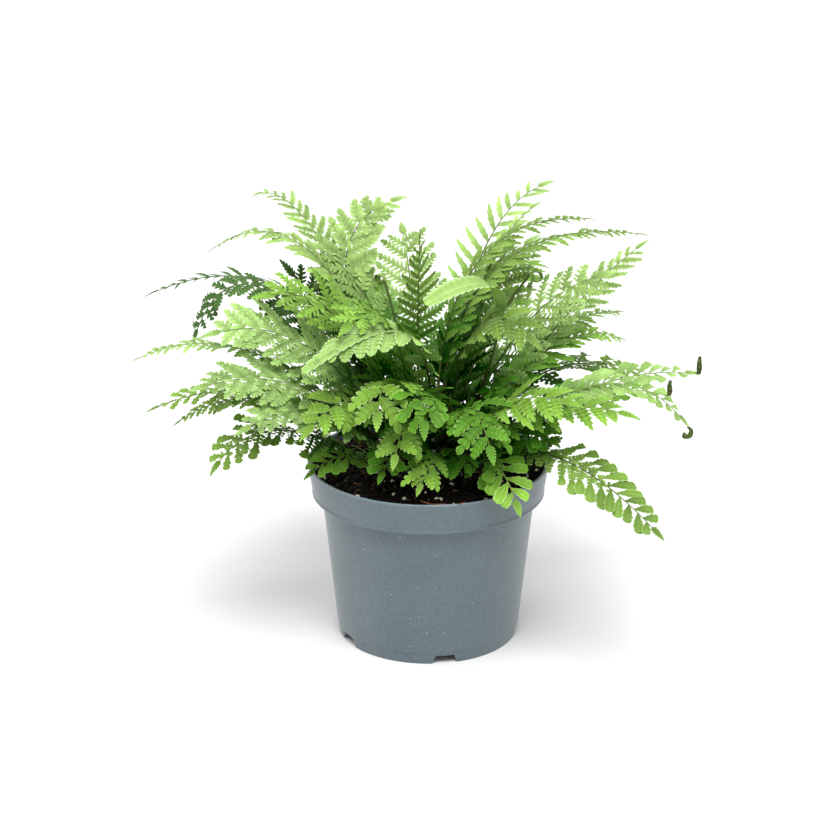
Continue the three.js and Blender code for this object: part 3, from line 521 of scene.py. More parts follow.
def grained_polypropylene():
    """Moulded polypropylene with recycled filler: matte and grey-blue, clouded in patches
    of 22 mm, with a pale speck under a millimetre across in one of five cells of 4.3 mm,
    the sand grain of a blasted mould, drawn 1.2 mm coarse so that it shows, a dusty bloom
    where the wall turns away, and a highlight painted paler along the top of the rim."""
    material, tree = new_material("grained_polypropylene")
    place = add(tree, "TexCoord", {}, []).outputs["Object"]
    specks = add(tree, "TexVoronoi", {}, {"Vector": place, "Scale": 230.0})
    speck = add(tree, "MapRange", {}, [specks.outputs["Distance"], 0.04, 0.075, 1.0, 0.0])
    chance = add(tree, "SeparateColor", {}, [specks.outputs["Color"]])
    rare = add(tree, "Math", {"operation": "GREATER_THAN"}, [chance, 0.8])
    shown = add(tree, "Math", TIMES, [speck, rare])
    faint = add(tree, "Math", TIMES, [shown, 0.6])
    cloud = add(tree, "TexNoise", {}, {"Vector": place, "Scale": 45.0, "Detail": 4.0})
    tone = add(tree, "Mix", COLOURS, {0: cloud, 6: linear("47565d"), 7: linear("56666c")})
    grain = add(tree, "TexNoise", {}, {"Vector": place, "Scale": 820.0, "Detail": 4.0})
    fine = add(tree, "MapRange", {}, [grain, 0.3, 0.7, 0.82, 1.2])
    height = add(tree, "SeparateXYZ", {}, [place]).outputs[2]
    # Painted highlight: the top 1.2 mm of the pot, at the rim, is made up to 1.7 times lighter.
    rim_highlight_from, rim_highlight_to = (POT_HEIGHT - 1.2) * MM, (POT_HEIGHT - 0.3) * MM
    painted_rim_highlight = add(tree, "MapRange", {}, [height, rim_highlight_from, rim_highlight_to, 1.0, 1.7])
    grain_and_rim_highlight = add(tree, "Math", TIMES, [fine, painted_rim_highlight])
    grained = add(tree, "HueSaturation", {}, {"Color": tone.outputs[2], "Value": grain_and_rim_highlight})
    colour = add(tree, "Mix", COLOURS, {0: faint, 6: grained, 7: linear("d4d9da")})
    relief = add(tree, "Bump", {}, {"Height": grain, "Strength": 0.35, "Distance": 0.3 * MM})
    shader = add(tree, "BsdfPrincipled", {},
                 {"Base Color": colour.outputs[2], "Roughness": 0.42, "IOR": 1.6,
                  "Sheen Weight": 0.22, "Sheen Roughness": 0.4, "Normal": relief})
    add(tree, "OutputMaterial", {}, [shader])
    return material


def mottled_matter(name, dark, light, grain, roughness, bump):
    """Rough natural matter in two tones, mixed in grains of the given size in millimetres,
    with the same grains as relief."""
    material, tree = new_material(name)
    place = add(tree, "TexCoord", {}, []).outputs["Object"]
    grains = add(tree, "TexNoise", {}, {"Vector": place, "Scale": 1 / (grain * MM), "Detail": 4.0})
    share = add(tree, "MapRange", {}, [grains, 0.38, 0.68, 0.0, 1.0])
    colour = add(tree, "Mix", COLOURS, {0: share, 6: linear(dark), 7: linear(light)})
    relief = add(tree, "Bump", {}, {"Height": grains, "Strength": 0.6, "Distance": bump * MM})
    shader = add(tree, "BsdfPrincipled", {},
                 {"Base Color": colour.outputs[2], "Roughness": roughness,
                  "Specular IOR Level": 0.2, "Normal": relief})
    add(tree, "OutputMaterial", {}, [shader])
    return material


def white_board():
    """White card for the floor: plain, matte and a little grey, so that it lights up to
    white without glare."""
    material, tree = new_material("white_board")
    add(tree, "OutputMaterial", {}, [add(tree, "BsdfDiffuse", {}, [linear("d0d0d0")])])
    return material


# ---------------------------------------------------------------- mesh helpers

# Edges that turn by more than so many degrees stay crisp, on each kind of piece.
CRISP_MOULDING = 40.0
CRISP_GROWTH = 60.0
CRISP_GRAINS = 80.0
CRISP_SOIL = 50.0

LATTICE = 256


def unit(vectors):
    """Vectors of length 1 in the same directions."""
    return vectors / np.linalg.norm(vectors, axis=-1, keepdims=True)


def lerp(start, end, share):
    """The value at a share of the way from a start to an end."""
    return start + (end - start) * share


def polar(radius, azimuth, height):
    """A point at a distance from the axis, an azimuth in degrees and a height."""
    angle = math.radians(azimuth)
    return (radius * math.cos(angle), radius * math.sin(angle), height)


def on_axis(height):
    """The end point of a turned body, on the pot's axis."""
    return np.array([[0.0, 0.0, height]])


def placed(name, data):
    """A new object in the scene."""
    made = bpy.data.objects.new(name, data)
    bpy.context.scene.collection.objects.link(made)
    return made


def loft(rings, first, last):
    """Closed bodies whose skin joins ring to ring and ends in a point at both ends. rings
    holds bodies, rings, corners and coordinates, with the corners running anticlockwise
    as seen from the last ring. Gives points, four-sided faces and three-sided faces."""
    bodies, rows, corners, _ = rings.shape
    points = np.concatenate([first[:, None], rings.reshape(bodies, -1, 3), last[:, None]], axis=1)
    stride = rows * corners + 2
    row, corner = np.meshgrid(np.arange(rows - 1), np.arange(corners), indexing="ij")
    following = (corner + 1) % corners
    near, far = 1 + row * corners, 1 + (row + 1) * corners
    quads = np.stack([near + corner, near + following, far + following, far + corner], -1).reshape(-1, 4)
    around = np.arange(corners)
    ahead = (around + 1) % corners
    end_row = 1 + (rows - 1) * corners
    foot = np.stack([0 * around, 1 + ahead, 1 + around], -1)
    head = np.stack([0 * around + stride - 1, end_row + around, end_row + ahead], -1)
    triangles = np.concatenate([foot, head])
    start = (np.arange(bodies) * stride)[:, None, None]
    return points.reshape(-1, 3), (quads + start).reshape(-1, 4), (triangles + start).reshape(-1, 3)


def round_rings(centres, along, side, radii, corners):
    """Rings of a round bar: at each centre, corners evenly spaced round the direction it
    runs in, starting from the side direction."""
    over = np.cross(along, side)
    angle = 2 * np.pi * np.arange(corners) / corners
    spokes = np.cos(angle)[:, None] * side[..., None, :] + np.sin(angle)[:, None] * over[..., None, :]
    return centres[..., None, :] + spokes * radii[..., None, None]


class Skin:
    """Bodies gathered for one piece, with a UV place and named values at each point."""

    def __init__(self):
        self.bodies = []
        self.count = 0

    def add(self, rings, first, last, uv=None, **values):
        """Adds lofted bodies. uv is one body's places, and each value is one for all, one per
        body or one per point of the bodies."""
        points, quads, triangles = loft(rings, first, last)
        bodies = len(rings)
        stride = len(points) // bodies
        places = np.tile(np.full((stride, 2), 0.5) if uv is None else uv, (bodies, 1))
        spread = {}
        for name, value in values.items():
            each = (-1, 1) if np.size(value) in (1, bodies) else (bodies, -1)
            spread[name] = np.broadcast_to(np.reshape(value, each), (bodies, stride)).ravel()
        self.bodies.append((points, quads + self.count, triangles + self.count, places, spread))
        self.count += len(points)

    def add_bar(self, centres, along, side, radii, corners, **values):
        """Adds one round bar through the centres. Each value is one for the bar, or one per
        ring."""
        for name, value in values.items():
            if np.ndim(value):
                values[name] = np.concatenate([value[:1], np.repeat(value, corners), value[-1:]])
        self.add(round_rings(centres, along, side, radii, corners)[None], centres[:1], centres[-1:], **values)

    def piece(self, name, material, crisp):
        """The gathered bodies as one object, whose edges stay crisp above an angle."""
        points, quads, triangles, places = (
            np.concatenate([body[part] for body in self.bodies]) for part in range(4))
        corners = np.concatenate([quads.ravel(), triangles.ravel()]).astype(np.int32)
        starts = np.concatenate([4 * np.arange(len(quads)), 4 * len(quads) + 3 * np.arange(len(triangles))])
        mesh = bpy.data.meshes.new(name)
        mesh.vertices.add(len(points))
        mesh.loops.add(len(corners))
        mesh.polygons.add(len(starts))
        mesh.vertices.foreach_set("co", (points * MM).astype(np.float32).ravel())
        mesh.loops.foreach_set("vertex_index", corners)
        mesh.polygons.foreach_set("loop_start", starts.astype(np.int32))
        mesh.update(calc_edges=True)
        uv_map = mesh.uv_layers.new(name="UVMap")
        uv_map.data.foreach_set("uv", places[corners].astype(np.float32).ravel())
        for key in self.bodies[0][4]:
            values = np.concatenate([body[4][key] for body in self.bodies]).astype(np.float32)
            mesh.attributes.new(key, "FLOAT", "POINT").data.foreach_set("value", values)
        mesh.shade_smooth()
        mesh.set_sharp_from_angle(angle=math.radians(crisp))
        mesh.materials.append(material)
        return placed(name, mesh)


def lumps(x, y, size, draw):
    """Smooth random heights from -1 to 1 on a level plane, with hills of a given size: a
    lattice of random values, blended with an S-curve between its points."""
    lattice = draw.uniform(-1, 1, (LATTICE, LATTICE))
    u, v = x / size + LATTICE / 2, y / size + LATTICE / 2
    column, row = (np.floor(at).astype(int) % (LATTICE - 1) for at in (u, v))
    s, t = u - np.floor(u), v - np.floor(v)
    s, t = s * s * (3 - 2 * s), t * t * (3 - 2 * t)
    near = lerp(lattice[row, column], lattice[row, column + 1], s)
    far = lerp(lattice[row + 1, column], lattice[row + 1, column + 1], s)
    return lerp(near, far, t)


def finish_piece(made, slot, *nodes):
    """Lets a piece ride on the body and stand for nodes. The slot is not used."""
    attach(made, "root")
    if nodes:
        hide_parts(*nodes)


# ---------------------------------------------------------------- pot

# The radii that round the pot's corners, from the finest to the softest.
HAIR, FINE, EASED, SOFT = 0.05, 0.15, 0.3, 0.8
ROUNDING_STEPS = 5

# The bead at the collar's foot, and where it has run out into the wall, the rim's raised
# lip, and the ledge inside it.
BEAD_HEIGHT = 0.8
BEAD_TOP = 1.5
LIP_WIDTH = 0.85
LEDGE_DEPTH = 0.35

# The slope of the foot ring's inner side, how much lower a notch is cut there, and the
# margin round the ring that a notch squeezes.
RING_SLOPE = 1.0
NOTCH_INSIDE_LOWER = 0.25
RING_MARGIN = 1.2

POT_TURN_STEP = 1.5
DRILL_HEIGHTS = (1.0, 7.0)


def rounded(corner_points, radii):
    """A profile whose corners are rounded: each corner is a quadratic curve between the
    two points that lie its radius away along its edges."""
    profile = []
    corner_points = np.array(corner_points, float)
    for index, (point, radius) in enumerate(zip(corner_points, radii)):
        if radius == 0:
            profile.append(point[None])
            continue
        before = point + unit(corner_points[index - 1] - point) * radius
        after = point + unit(corner_points[index + 1] - point) * radius
        t = np.linspace(0, 1, ROUNDING_STEPS)[:, None]
        profile.append((1 - t) ** 2 * before + 2 * t * (1 - t) * point + t ** 2 * after)
    return np.concatenate(profile)


def notch_rise(azimuth):
    """How far the foot is cut away at an azimuth: a flat-topped notch with sloped sides."""
    rise = np.zeros_like(azimuth)
    for middle in NOTCH_AZIMUTHS:
        off = np.abs((azimuth - middle + 180) % 360 - 180)
        run = np.radians(off) * BASE_RADIUS
        slope = (NOTCH_WIDTH / 2 + NOTCH_TAPER - run) / (2 * NOTCH_TAPER)
        rise = np.maximum(rise, NOTCH_HEIGHT * np.clip(slope, 0, 1))
    return rise


def pot_profile():
    """The pot's outline from the centre pad out, up the outside, over the rim and down the
    inside to the floor, with its corners rounded."""
    ring_inside = BASE_RADIUS - FOOT_RING_WIDTH
    band_top = BASE_RADIUS + BASE_DRAFT
    bead = COLLAR_FOOT_RADIUS + COLLAR_BEAD
    corners = [
        ((CENTRE_PAD_RADIUS, 0), 0.0),
        ((CENTRE_PAD_RADIUS + RING_SLOPE, FLOOR_RISE), 0.5),
        ((ring_inside - RING_SLOPE, FLOOR_RISE), 0.5),
        ((ring_inside, 0), EASED),
        ((BASE_RADIUS, 0), 0.5),
        ((band_top, FOOT_BAND_HEIGHT), FINE),
        ((band_top + FOOT_BAND_STEP, FOOT_BAND_HEIGHT + FOOT_BAND_STEP), FINE),
        ((BODY_TOP_RADIUS, COLLAR_FOOT), SOFT),
        ((bead, COLLAR_FOOT), EASED),
        ((bead, COLLAR_FOOT + BEAD_HEIGHT), EASED),
        ((COLLAR_FOOT_RADIUS + 0.1, COLLAR_FOOT + BEAD_TOP), EASED),
        ((RIM_RADIUS - 0.02, POT_HEIGHT), 0.7),
        ((RIM_RADIUS - LIP_WIDTH, POT_HEIGHT - HAIR), HAIR),
        ((RIM_RADIUS - LIP_WIDTH - 0.1, POT_HEIGHT - LEDGE_DEPTH), HAIR),
        ((RIM_RADIUS - WALL, POT_HEIGHT - LEDGE_DEPTH), EASED),
        ((COLLAR_FOOT_RADIUS - WALL, COLLAR_FOOT + WALL), SOFT),
        ((BODY_TOP_RADIUS - WALL, COLLAR_FOOT), SOFT),
        ((BASE_RADIUS - WALL, FLOOR_TOP), 0.0),
    ]
    return rounded(*zip(*corners))


def grey_pot(material):
    """The pot is a rounded profile turned round the axis. Where a notch is, the foot ring
    is squeezed up to the notch's height."""
    profile = pot_profile()
    edges = NOTCH_TAPER * np.array([-1.0, 1.0, -0.9, 0.9]) + NOTCH_WIDTH / 2
    edge_turns = np.degrees(edges / BASE_RADIUS)
    near_notches = (NOTCH_AZIMUTHS[:, None] + np.concatenate([edge_turns, -edge_turns])).ravel()
    evenly = np.arange(0, 360, POT_TURN_STEP)
    azimuth = np.unique(np.round(np.concatenate([evenly, near_notches % 360]), 4))
    rise = notch_rise(azimuth)
    radius, height = profile[:, :1], profile[:, 1:]
    inside_rise = np.minimum(rise, FLOOR_RISE - NOTCH_INSIDE_LOWER)
    foot = np.where(radius < BASE_RADIUS - 1, inside_rise, rise)
    squeezed = foot + height * (FOOT_BAND_HEIGHT - foot) / FOOT_BAND_HEIGHT
    in_ring = (height < FOOT_BAND_HEIGHT) & (radius > BASE_RADIUS - FOOT_RING_WIDTH - RING_MARGIN)
    outside_half = np.arange(len(profile))[:, None] < len(profile) // 2
    level = np.where(in_ring & outside_half, np.maximum(squeezed, height), height + 0 * foot)
    turn = np.radians(azimuth)
    rings = np.stack([radius * np.cos(turn), radius * np.sin(turn), level], -1)[None]
    skin = Skin()
    skin.add(rings, on_axis(0.0), on_axis(FLOOR_TOP))
    pot = skin.piece("moulded_pot", material, CRISP_MOULDING)
    drill_drains(pot)
    finish_piece(pot, "pot_plastic", "pot")


def drill_drains(pot):
    """Cuts the ring of round drain holes through the pot's floor."""
    turn = 2 * np.pi * np.arange(DRAIN_COUNT) / DRAIN_COUNT
    middle = np.stack([np.cos(turn), np.sin(turn), 0 * turn], -1) * DRAIN_CIRCLE_RADIUS
    centres = middle[:, None] + np.array(DRILL_HEIGHTS)[:, None] * UP
    along, side = (np.broadcast_to(axis, centres.shape) for axis in (UP, RIGHT))
    radii = np.full((DRAIN_COUNT, 2), DRAIN_RADIUS)
    skin = Skin()
    skin.add(round_rings(centres, along, side, radii, corners=24), centres[:, 0], centres[:, -1])
    drill = skin.piece("drill", pot.data.materials[0], CRISP_MOULDING)
    bore = pot.modifiers.new("drain_holes", "BOOLEAN")
    bore.object = drill
    bore.solver = "EXACT"
    drilled = bpy.data.meshes.new_from_object(pot.evaluated_get(bpy.context.evaluated_depsgraph_get()))
    pot.modifiers.clear()
    pot.data = drilled
    drilled.set_sharp_from_angle(angle=math.radians(CRISP_MOULDING))
    bpy.data.objects.remove(drill)


# ---------------------------------------------------------------- soil

# The height and the size of the soil's clods, crumbs and specks, and how far they sink.
CLODS = ((0.7, 5.0), (0.5, 2.0), (0.3, 0.9))
CLOD_SINK = 0.2

# Loose grains lie between these distances from the axis. Each is a ball of three rings,
# given by their latitudes, with these spreads of its size, its rings' radii and its tilt.
GRAINS_FROM_TO = (27.0, 56.5)
GRAIN_LATITUDES = (-52.0, -12.0, 35.0)
GRAIN_SIZES = (0.55, 1.3)
GRAIN_UNEVENNESS = (0.75, 1.2)
GRAIN_TILT = 0.5
GRAIN_RISE = 0.25


def soil_height(x, y):
    """Height of the soil's top: a low swell with two crossed sets of waves."""
    reach = np.hypot(x, y) / RIM_RADIUS
    a, b, c = SOIL_WAVES
    waves = np.sin(x * a + 1) * np.cos(y * b) + np.sin((x + y) * c)
    return SOIL_EDGE + SOIL_SWELL * (1 - reach ** 2) + SOIL_BUMP * waves / 2


def collar_inside(height):
    """The radius of the soil inside the pot's sloping collar."""
    slope = (RIM_RADIUS - COLLAR_FOOT_RADIUS) / (POT_HEIGHT - COLLAR_FOOT - WALL)
    return COLLAR_FOOT_RADIUS + slope * (height - COLLAR_FOOT - WALL) - WALL - SOIL_GAP


def potting_soil(material, seed):
    """The soil is a turned body: floor, wall, a top with clods and crumbs on it, and the
    hole that the crown stands in."""
    floor = FLOOR_TOP + SOIL_GAP
    collar = COLLAR_FOOT + WALL + 1
    hole = CROWN_RADIUS + SOIL_GAP
    hole_floor = SOIL_TOP - CROWN_DEPTH - SOIL_GAP
    pit = hole - CROWN_RADIUS * (1 - CROWN_FOOT_SHARE)
    side_radii = [BASE_RADIUS - WALL - SOIL_GAP, BODY_TOP_RADIUS - WALL - SOIL_GAP, collar_inside(collar)]
    side_heights = np.array([floor, COLLAR_FOOT, collar])
    top_radii = np.linspace(collar_inside(SOIL_EDGE), hole, num=84)
    radius = np.concatenate([side_radii, top_radii, [pit]])[:, None]
    turn = np.linspace(0, 2 * np.pi, num=360, endpoint=False)
    x, y = radius * np.cos(turn), radius * np.sin(turn)
    draw = np.random.default_rng(seed)
    clods = sum(rise * lumps(x, y, size, draw) for rise, size in CLODS)
    level = soil_height(x, y) - CLOD_SINK + clods
    level[:len(side_radii)] = side_heights[:, None]
    level[-1] = hole_floor
    skin = Skin()
    skin.add(np.stack([x, y, level], -1)[None], on_axis(floor), on_axis(hole_floor))
    finish_piece(skin.piece("crumbly_soil", material, CRISP_SOIL), "soil", "soil")


def pebbles(name, material, count, size, stretch, sink, seed):
    """Loose grains on the soil: small uneven balls of three rings, stretched one way and
    laid at random with a share of their height sunk in."""
    draw = np.random.default_rng(seed)
    nearest, farthest = GRAINS_FROM_TO
    radius = np.sqrt(draw.uniform(nearest ** 2, farthest ** 2, count))
    turn = draw.uniform(0, 2 * np.pi, count)
    x, y = radius * np.cos(turn), radius * np.sin(turn)
    sizes = size * draw.uniform(*GRAIN_SIZES, count) / 2
    centre = np.stack([x, y, soil_height(x, y) + sizes * (1 - 2 * sink) + GRAIN_RISE], -1)
    heading = draw.uniform(0, 2 * np.pi, count)
    tilt = draw.uniform(-GRAIN_TILT, GRAIN_TILT, count)
    along = np.stack([np.cos(heading) * np.cos(tilt), np.sin(heading) * np.cos(tilt), np.sin(tilt)], -1)
    side = unit(np.cross(along, UP))
    latitudes = np.radians(GRAIN_LATITUDES)
    shift = sizes[:, None] * stretch * np.sin(latitudes)
    centres = centre[:, None] + along[:, None] * shift[..., None]
    radii = sizes[:, None] * np.cos(latitudes) * draw.uniform(*GRAIN_UNEVENNESS, shift.shape)
    axes = (np.broadcast_to(axis[:, None], centres.shape) for axis in (along, side))
    reach = (sizes * stretch)[:, None] * along
    skin = Skin()
    skin.add(round_rings(centres, *axes, radii, corners=6), centre - reach, centre + reach)
    finish_piece(skin.piece(name, material, CRISP_GRAINS), "soil")


def thread(name, material, path, radii, corners, slot):
    """A thin round strand through given points, smoothed by a cubic through each three."""
    knots = np.array(path, float)
    steps = np.linspace(0, len(knots) - 1, num=8 * len(knots))
    before = np.clip(np.floor(steps).astype(int), 0, len(knots) - 2)
    t = (steps - before)[:, None]
    slopes = np.gradient(knots, axis=0)
    a, b, da, db = knots[before], knots[before + 1], slopes[before], slopes[before + 1]
    centres = a * (2 * t ** 3 - 3 * t ** 2 + 1) + da * (t ** 3 - 2 * t ** 2 + t)
    centres = centres + b * (3 * t ** 2 - 2 * t ** 3) + db * (t ** 3 - t ** 2)
    along = unit(np.gradient(centres, axis=0))
    width = np.interp(steps, np.linspace(0, len(knots) - 1, len(radii)), radii)
    skin = Skin()
    skin.add_bar(centres, along, unit(np.cross(along, UP)), width, corners)
    finish_piece(skin.piece(name, material, CRISP_GRAINS), slot)


# ---------------------------------------------------------------- arches


def arch_of(tip, mid):
    """The foot, the pull point and the tip of a frond's parabola, which leaves the crown
    and passes over the middle point. Low ones leave it near its edge."""
    tip, mid = np.array(tip, float), np.array(mid, float)
    level = math.hypot(mid[0], mid[1])
    flatness = level / (level + mid[2] - SOIL_TOP)
    foot = np.append(mid[:2] / level * CROWN_RADIUS * (STALK_FOOT_NEAREST + STALK_FOOT_SPREAD * flatness),
                     SOIL_TOP - STALK_FOOT_DEPTH)
    return foot, 2 * mid - (foot + tip) / 2, tip


def along_arch(arch, shares):
    """Points and directions at shares of an arch's length, and that length. The parabola's
    own parameter is found from a table of 200 chords."""
    foot, pull, tip = arch
    at = lambda t: (1 - t) ** 2 * foot + 2 * t * (1 - t) * pull + t ** 2 * tip
    table = np.linspace(0, 1, num=201)
    chords = np.linalg.norm(np.diff(at(table[:, None]), axis=0), axis=1)
    run = np.concatenate([[0], np.cumsum(chords)])
    t = np.interp(np.clip(shares, 0, 1), run / run[-1], table)[:, None]
    return at(t), unit((1 - t) * (pull - foot) + t * (tip - pull)), run[-1]


def framing(arch, shares, full_roll):
    """Points on an arch, and the directions along it, to its right and above it. A blade
    that grows to either side has rolled its upper face towards the front."""
    points, along, _ = along_arch(arch, shares)
    level = unit(np.cross(along, UP))
    roll = -np.radians(full_roll) * level[:, 1] * np.minimum(1, shares / ROLLED_BY)
    across = level * np.cos(roll)[:, None] + np.cross(along, level) * np.sin(roll)[:, None]
    return points, along, across, np.cross(across, along)


def stalk_radius(share):
    """A frond's stalk thins out up to its neck, and its midrib from there to the tip."""
    return np.interp(share, [0, STALK_NECK, 1], [STALK_FOOT_RADIUS, STALK_TOP_RADIUS, RIB_TIP_RADIUS])


# ---------------------------------------------------------------- leaflets


def toothed_edge(teeth, form):
    """Places along a toothed edge and how far out each is, tooth by tooth."""
    places, heights = TOOTH_FORMS[form]
    rows = (np.arange(teeth)[:, None] + np.array(places)).ravel() / teeth
    return EDGE_START + EDGE_SPAN * rows, np.tile(heights, teeth)


def thin_blades(skin, spine, width, edge, depth, lean, values, broad=True):
    """Adds thin closed blades. spine holds the points along the middle of each at the
    edge's places, its two ends, and the directions ahead, across and above. The teeth
    take their depth off its half width and lean forward. Its sides fold up a little, and
    a broad one has a pleat for each tooth."""
    place, tooth = edge
    centre, ends, ahead, across, above = spine
    outer = width * (1 - depth * (1 - tooth))
    forward = (lean * depth * width * tooth)[..., None] * ahead
    right = outer[..., None] * across + forward
    left = forward - outer[..., None] * across
    rise = lambda amount: amount[..., None] * above
    fold = SIDE_FOLD * outer
    half_skin = np.full_like(outer, LEAF_THICKNESS / 2)
    if broad:
        deepening = PLEAT_DEPTH * (tooth - 0.5) * np.minimum(1.0, width / PLEATED_FROM)
        pleat = rise(PLEAT_RISE * fold + half_skin + deepening)
        top = [centre + right * PLEAT_AT + pleat, centre + rise(half_skin * MIDLINE_RISE),
               centre + left * PLEAT_AT + pleat]
    else:
        top = [centre + rise(half_skin)]
    rings = [centre + right + rise(fold), *top, centre + left + rise(fold), centre - rise(half_skin)]
    columns = ACROSS_BROAD if broad else ACROSS_SMALL
    middle = np.stack(np.broadcast_arrays(columns, place[:, None]), -1).reshape(-1, 2)
    uv = np.concatenate([[[0.5, 0.0]], middle, [[0.5, 1.0]]])
    skin.add(np.stack(rings, axis=2), ends[:, 0], ends[:, 1], uv, **values)


def envelope(place, belly, fall):
    """A leaf's half width at a place along it, as a share of its greatest: the curve
    place ** belly * (1 - place) ** fall."""
    fullest = belly / (belly + fall)
    return (place / fullest) ** belly * ((1 - place) / (1 - fullest)) ** fall


def leaflet_bodies(skin, grown, shape, edge, depth=0.0, lean=0.0, broad=True):
    """Adds thin closed leaflets. grown holds, for each, its base, the directions it
    reaches in and faces, its length, half width, droop and sweep, its tint, and how much
    of the shade painted inside the clump falls on it. Its end droops and sweeps to one side by
    the square of the place. shape holds the two powers of its envelope."""
    base, reach, upper = grown["base"], grown["reach"], grown["upper"]
    across = np.cross(upper, reach)
    length = grown["length"]

    def spine(t):
        run = (length[:, None] * t)[..., None] * reach[:, None]
        fallen = (length * grown["droop"])[:, None] * t ** 2
        swept = (length * grown["sweep"])[:, None] * t ** 2
        return base[:, None] + run - fallen[..., None] * upper[:, None] + swept[..., None] * across[:, None]

    width = grown["half"][:, None] * envelope(edge[0], *shape)
    depth_inside = np.clip(clump_depth(base) * grown["shadow"], 0, 1)
    values = dict(tint=grown["tint"], depth=depth_inside, stem=0.0)
    middle = (spine(edge[0]), spine(np.array([0.0, 1.0])), reach[:, None], across[:, None], upper[:, None])
    thin_blades(skin, middle, width, edge, depth, lean, values, broad)


def clump_depth(points):
    """How deep inside the clump points lie, for its painted shade: 0 at its outside, up to 1 by the crown."""
    from_middle = (points - CLUMP_MIDDLE) / CLUMP_HALF_SIZE
    return np.clip((SHADE_FROM - np.linalg.norm(from_middle, axis=1)) / SHADE_REACH, 0, 1)


def blade_half_width(width, place):
    """Half a blade's width at a place from its foot (0) to its tip (1)."""
    return width / 2 * (BLADE_FOOT_FULLNESS + BLADE_SWELL * place) * (1 - place)


def square_to(directions, axes):
    """Directions made square to the axes, and of length 1."""
    return unit(directions - np.sum(directions * axes, -1, keepdims=True) * axes)


def scatter(draw, spread, count):
    """A function that draws so many differences, up or down, of a named kind."""
    return lambda kind: draw.uniform(-spread[kind], spread[kind], count)


class Ribs:
    """The ribs of a frond's leaflets: where each starts, the way it goes and how it bends."""

    def __init__(self, frond, draw):
        self.cut = cut = CUTS[frond["cut"]]
        self.arch = arch_of(frond["tip"], frond["mid"])
        self.roll, self.stalk = frond["roll"], frond["stalk"]
        self.blade = along_arch(self.arch, np.array([0.0]))[2] * (1 - self.stalk)
        spacing = cut["spacing"] * np.clip(frond["width"] / WIDE_BLADE, CLOSEST_SPACING, 1.0)
        pairs = max(FEWEST_PAIRS, round(self.blade / spacing - TIP_PAIRS))
        self.parts = pairs + TIP_ROOM
        self.scale = np.clip(self.blade / self.parts / cut["spacing"], *SCALE_LIMITS)
        low = 0 if self.stalk < LOWEST_FOOT else LOW_PAIRS
        place = self.place = np.repeat((np.arange(-low, pairs) + FIRST_PAIR) / self.parts, 2)
        side = np.tile([1.0, -1.0], pairs + low)
        jitter = scatter(draw, LEAFLET_SPREAD, len(place))
        wander = cut.get("wander", 1.0)
        shares = self.stalk + (1 - self.stalk) * (place + side * STAGGER / self.parts)
        self.start, along, across, over = framing(self.arch, shares, self.roll)
        turn = np.radians(lerp(*LEAF_ANGLES, place) + wander * jitter("turn"))[:, None]
        lift = np.radians(LEAF_LIFT + wander * jitter("lift"))[:, None]
        outwards = side[:, None] * across * np.cos(lift) + over * np.sin(lift)
        self.reach = along * np.cos(turn) + outwards * np.sin(turn)
        self.upper = np.cross(outwards, along) * side[:, None]
        self.forward = square_to(along, self.reach)
        self.length = blade_half_width(frond["width"], np.maximum(place, 0)) / np.sin(turn[:, 0])
        shortened = np.clip(FOOT_LENGTH + LOW_SHORTENING * place, LOWEST_LENGTH, 1)
        self.length *= (1 + wander * jitter("length")) * shortened
        self.droop = cut["droop"] * (1 + jitter("droop"))
        self.sweep = SWEEP + jitter("sweep")
        own, shared = jitter("tint"), draw.uniform(-FROND_TINT_SPREAD, FROND_TINT_SPREAD)
        self.tint = np.clip(0.5 + own + shared, 0, 1)
        # How much of the clump's painted shade each leaflet takes.
        self.shadow = draw.uniform(*SHADOW_SHARE, len(place)) * frond["lit"]
        divided = np.maximum(lerp(*cut.get("split", UNDIVIDED), np.maximum(place, 0) ** SPLIT_FALL), 0)
        self.split = divided * np.clip((self.length - SPLIT_FROM) / SPLIT_WITHIN, 0, 1)

    def points(self, s):
        """Points on each rib at places from its foot (0) to its tip (1)."""
        bend = -(self.droop[:, None] * s ** 2)[..., None] * self.upper[:, None]
        turn_up = (self.sweep[:, None] * s ** 2)[..., None] * self.forward[:, None]
        run = s[..., None] * self.reach[:, None]
        return self.start[:, None] + self.length[:, None, None] * (run + bend + turn_up)

    def directions(self, s):
        """The way each rib runs at places along it."""
        bend = -(2 * self.droop[:, None] * s)[..., None] * self.upper[:, None]
        turn_up = (2 * self.sweep[:, None] * s)[..., None] * self.forward[:, None]
        return unit(self.reach[:, None] + bend + turn_up)

    def turned(self):
        """1 where a leaflet's own right side is the one towards the frond's tip, else -1."""
        return np.sign(np.sum(np.cross(self.upper, self.reach) * self.forward, 1))


def bars_of(skin, ribs):
    """The midrib, and the narrow strip of leaf along the divided share of each leaflet's
    rib that joins its divisions."""
    shares = np.linspace(ribs.stalk, MIDRIB_END, MIDRIB_RINGS)
    points, along, across, _ = framing(ribs.arch, shares, ribs.roll)
    skin.add_bar(points, along, across, stalk_radius(shares), corners=6, tint=0.5,
                 depth=clump_depth(points) * MIDRIB_SHADE, stem=np.linspace(1.0, 0.5, MIDRIB_RINGS))
    share = np.minimum(ribs.split + WEB_PAST_SPLIT, WEB_LONGEST)
    grown = dict(base=ribs.start, reach=ribs.reach, upper=ribs.upper, length=ribs.length * share,
                 half=np.minimum(ribs.cut["web"], WEB_WIDEST * ribs.length), droop=ribs.droop * share,
                 sweep=ribs.sweep * share * ribs.turned(), tint=ribs.tint, shadow=ribs.shadow)
    leaflet_bodies(skin, grown, WEB_SHAPE, PLAIN_EDGE, broad=False)


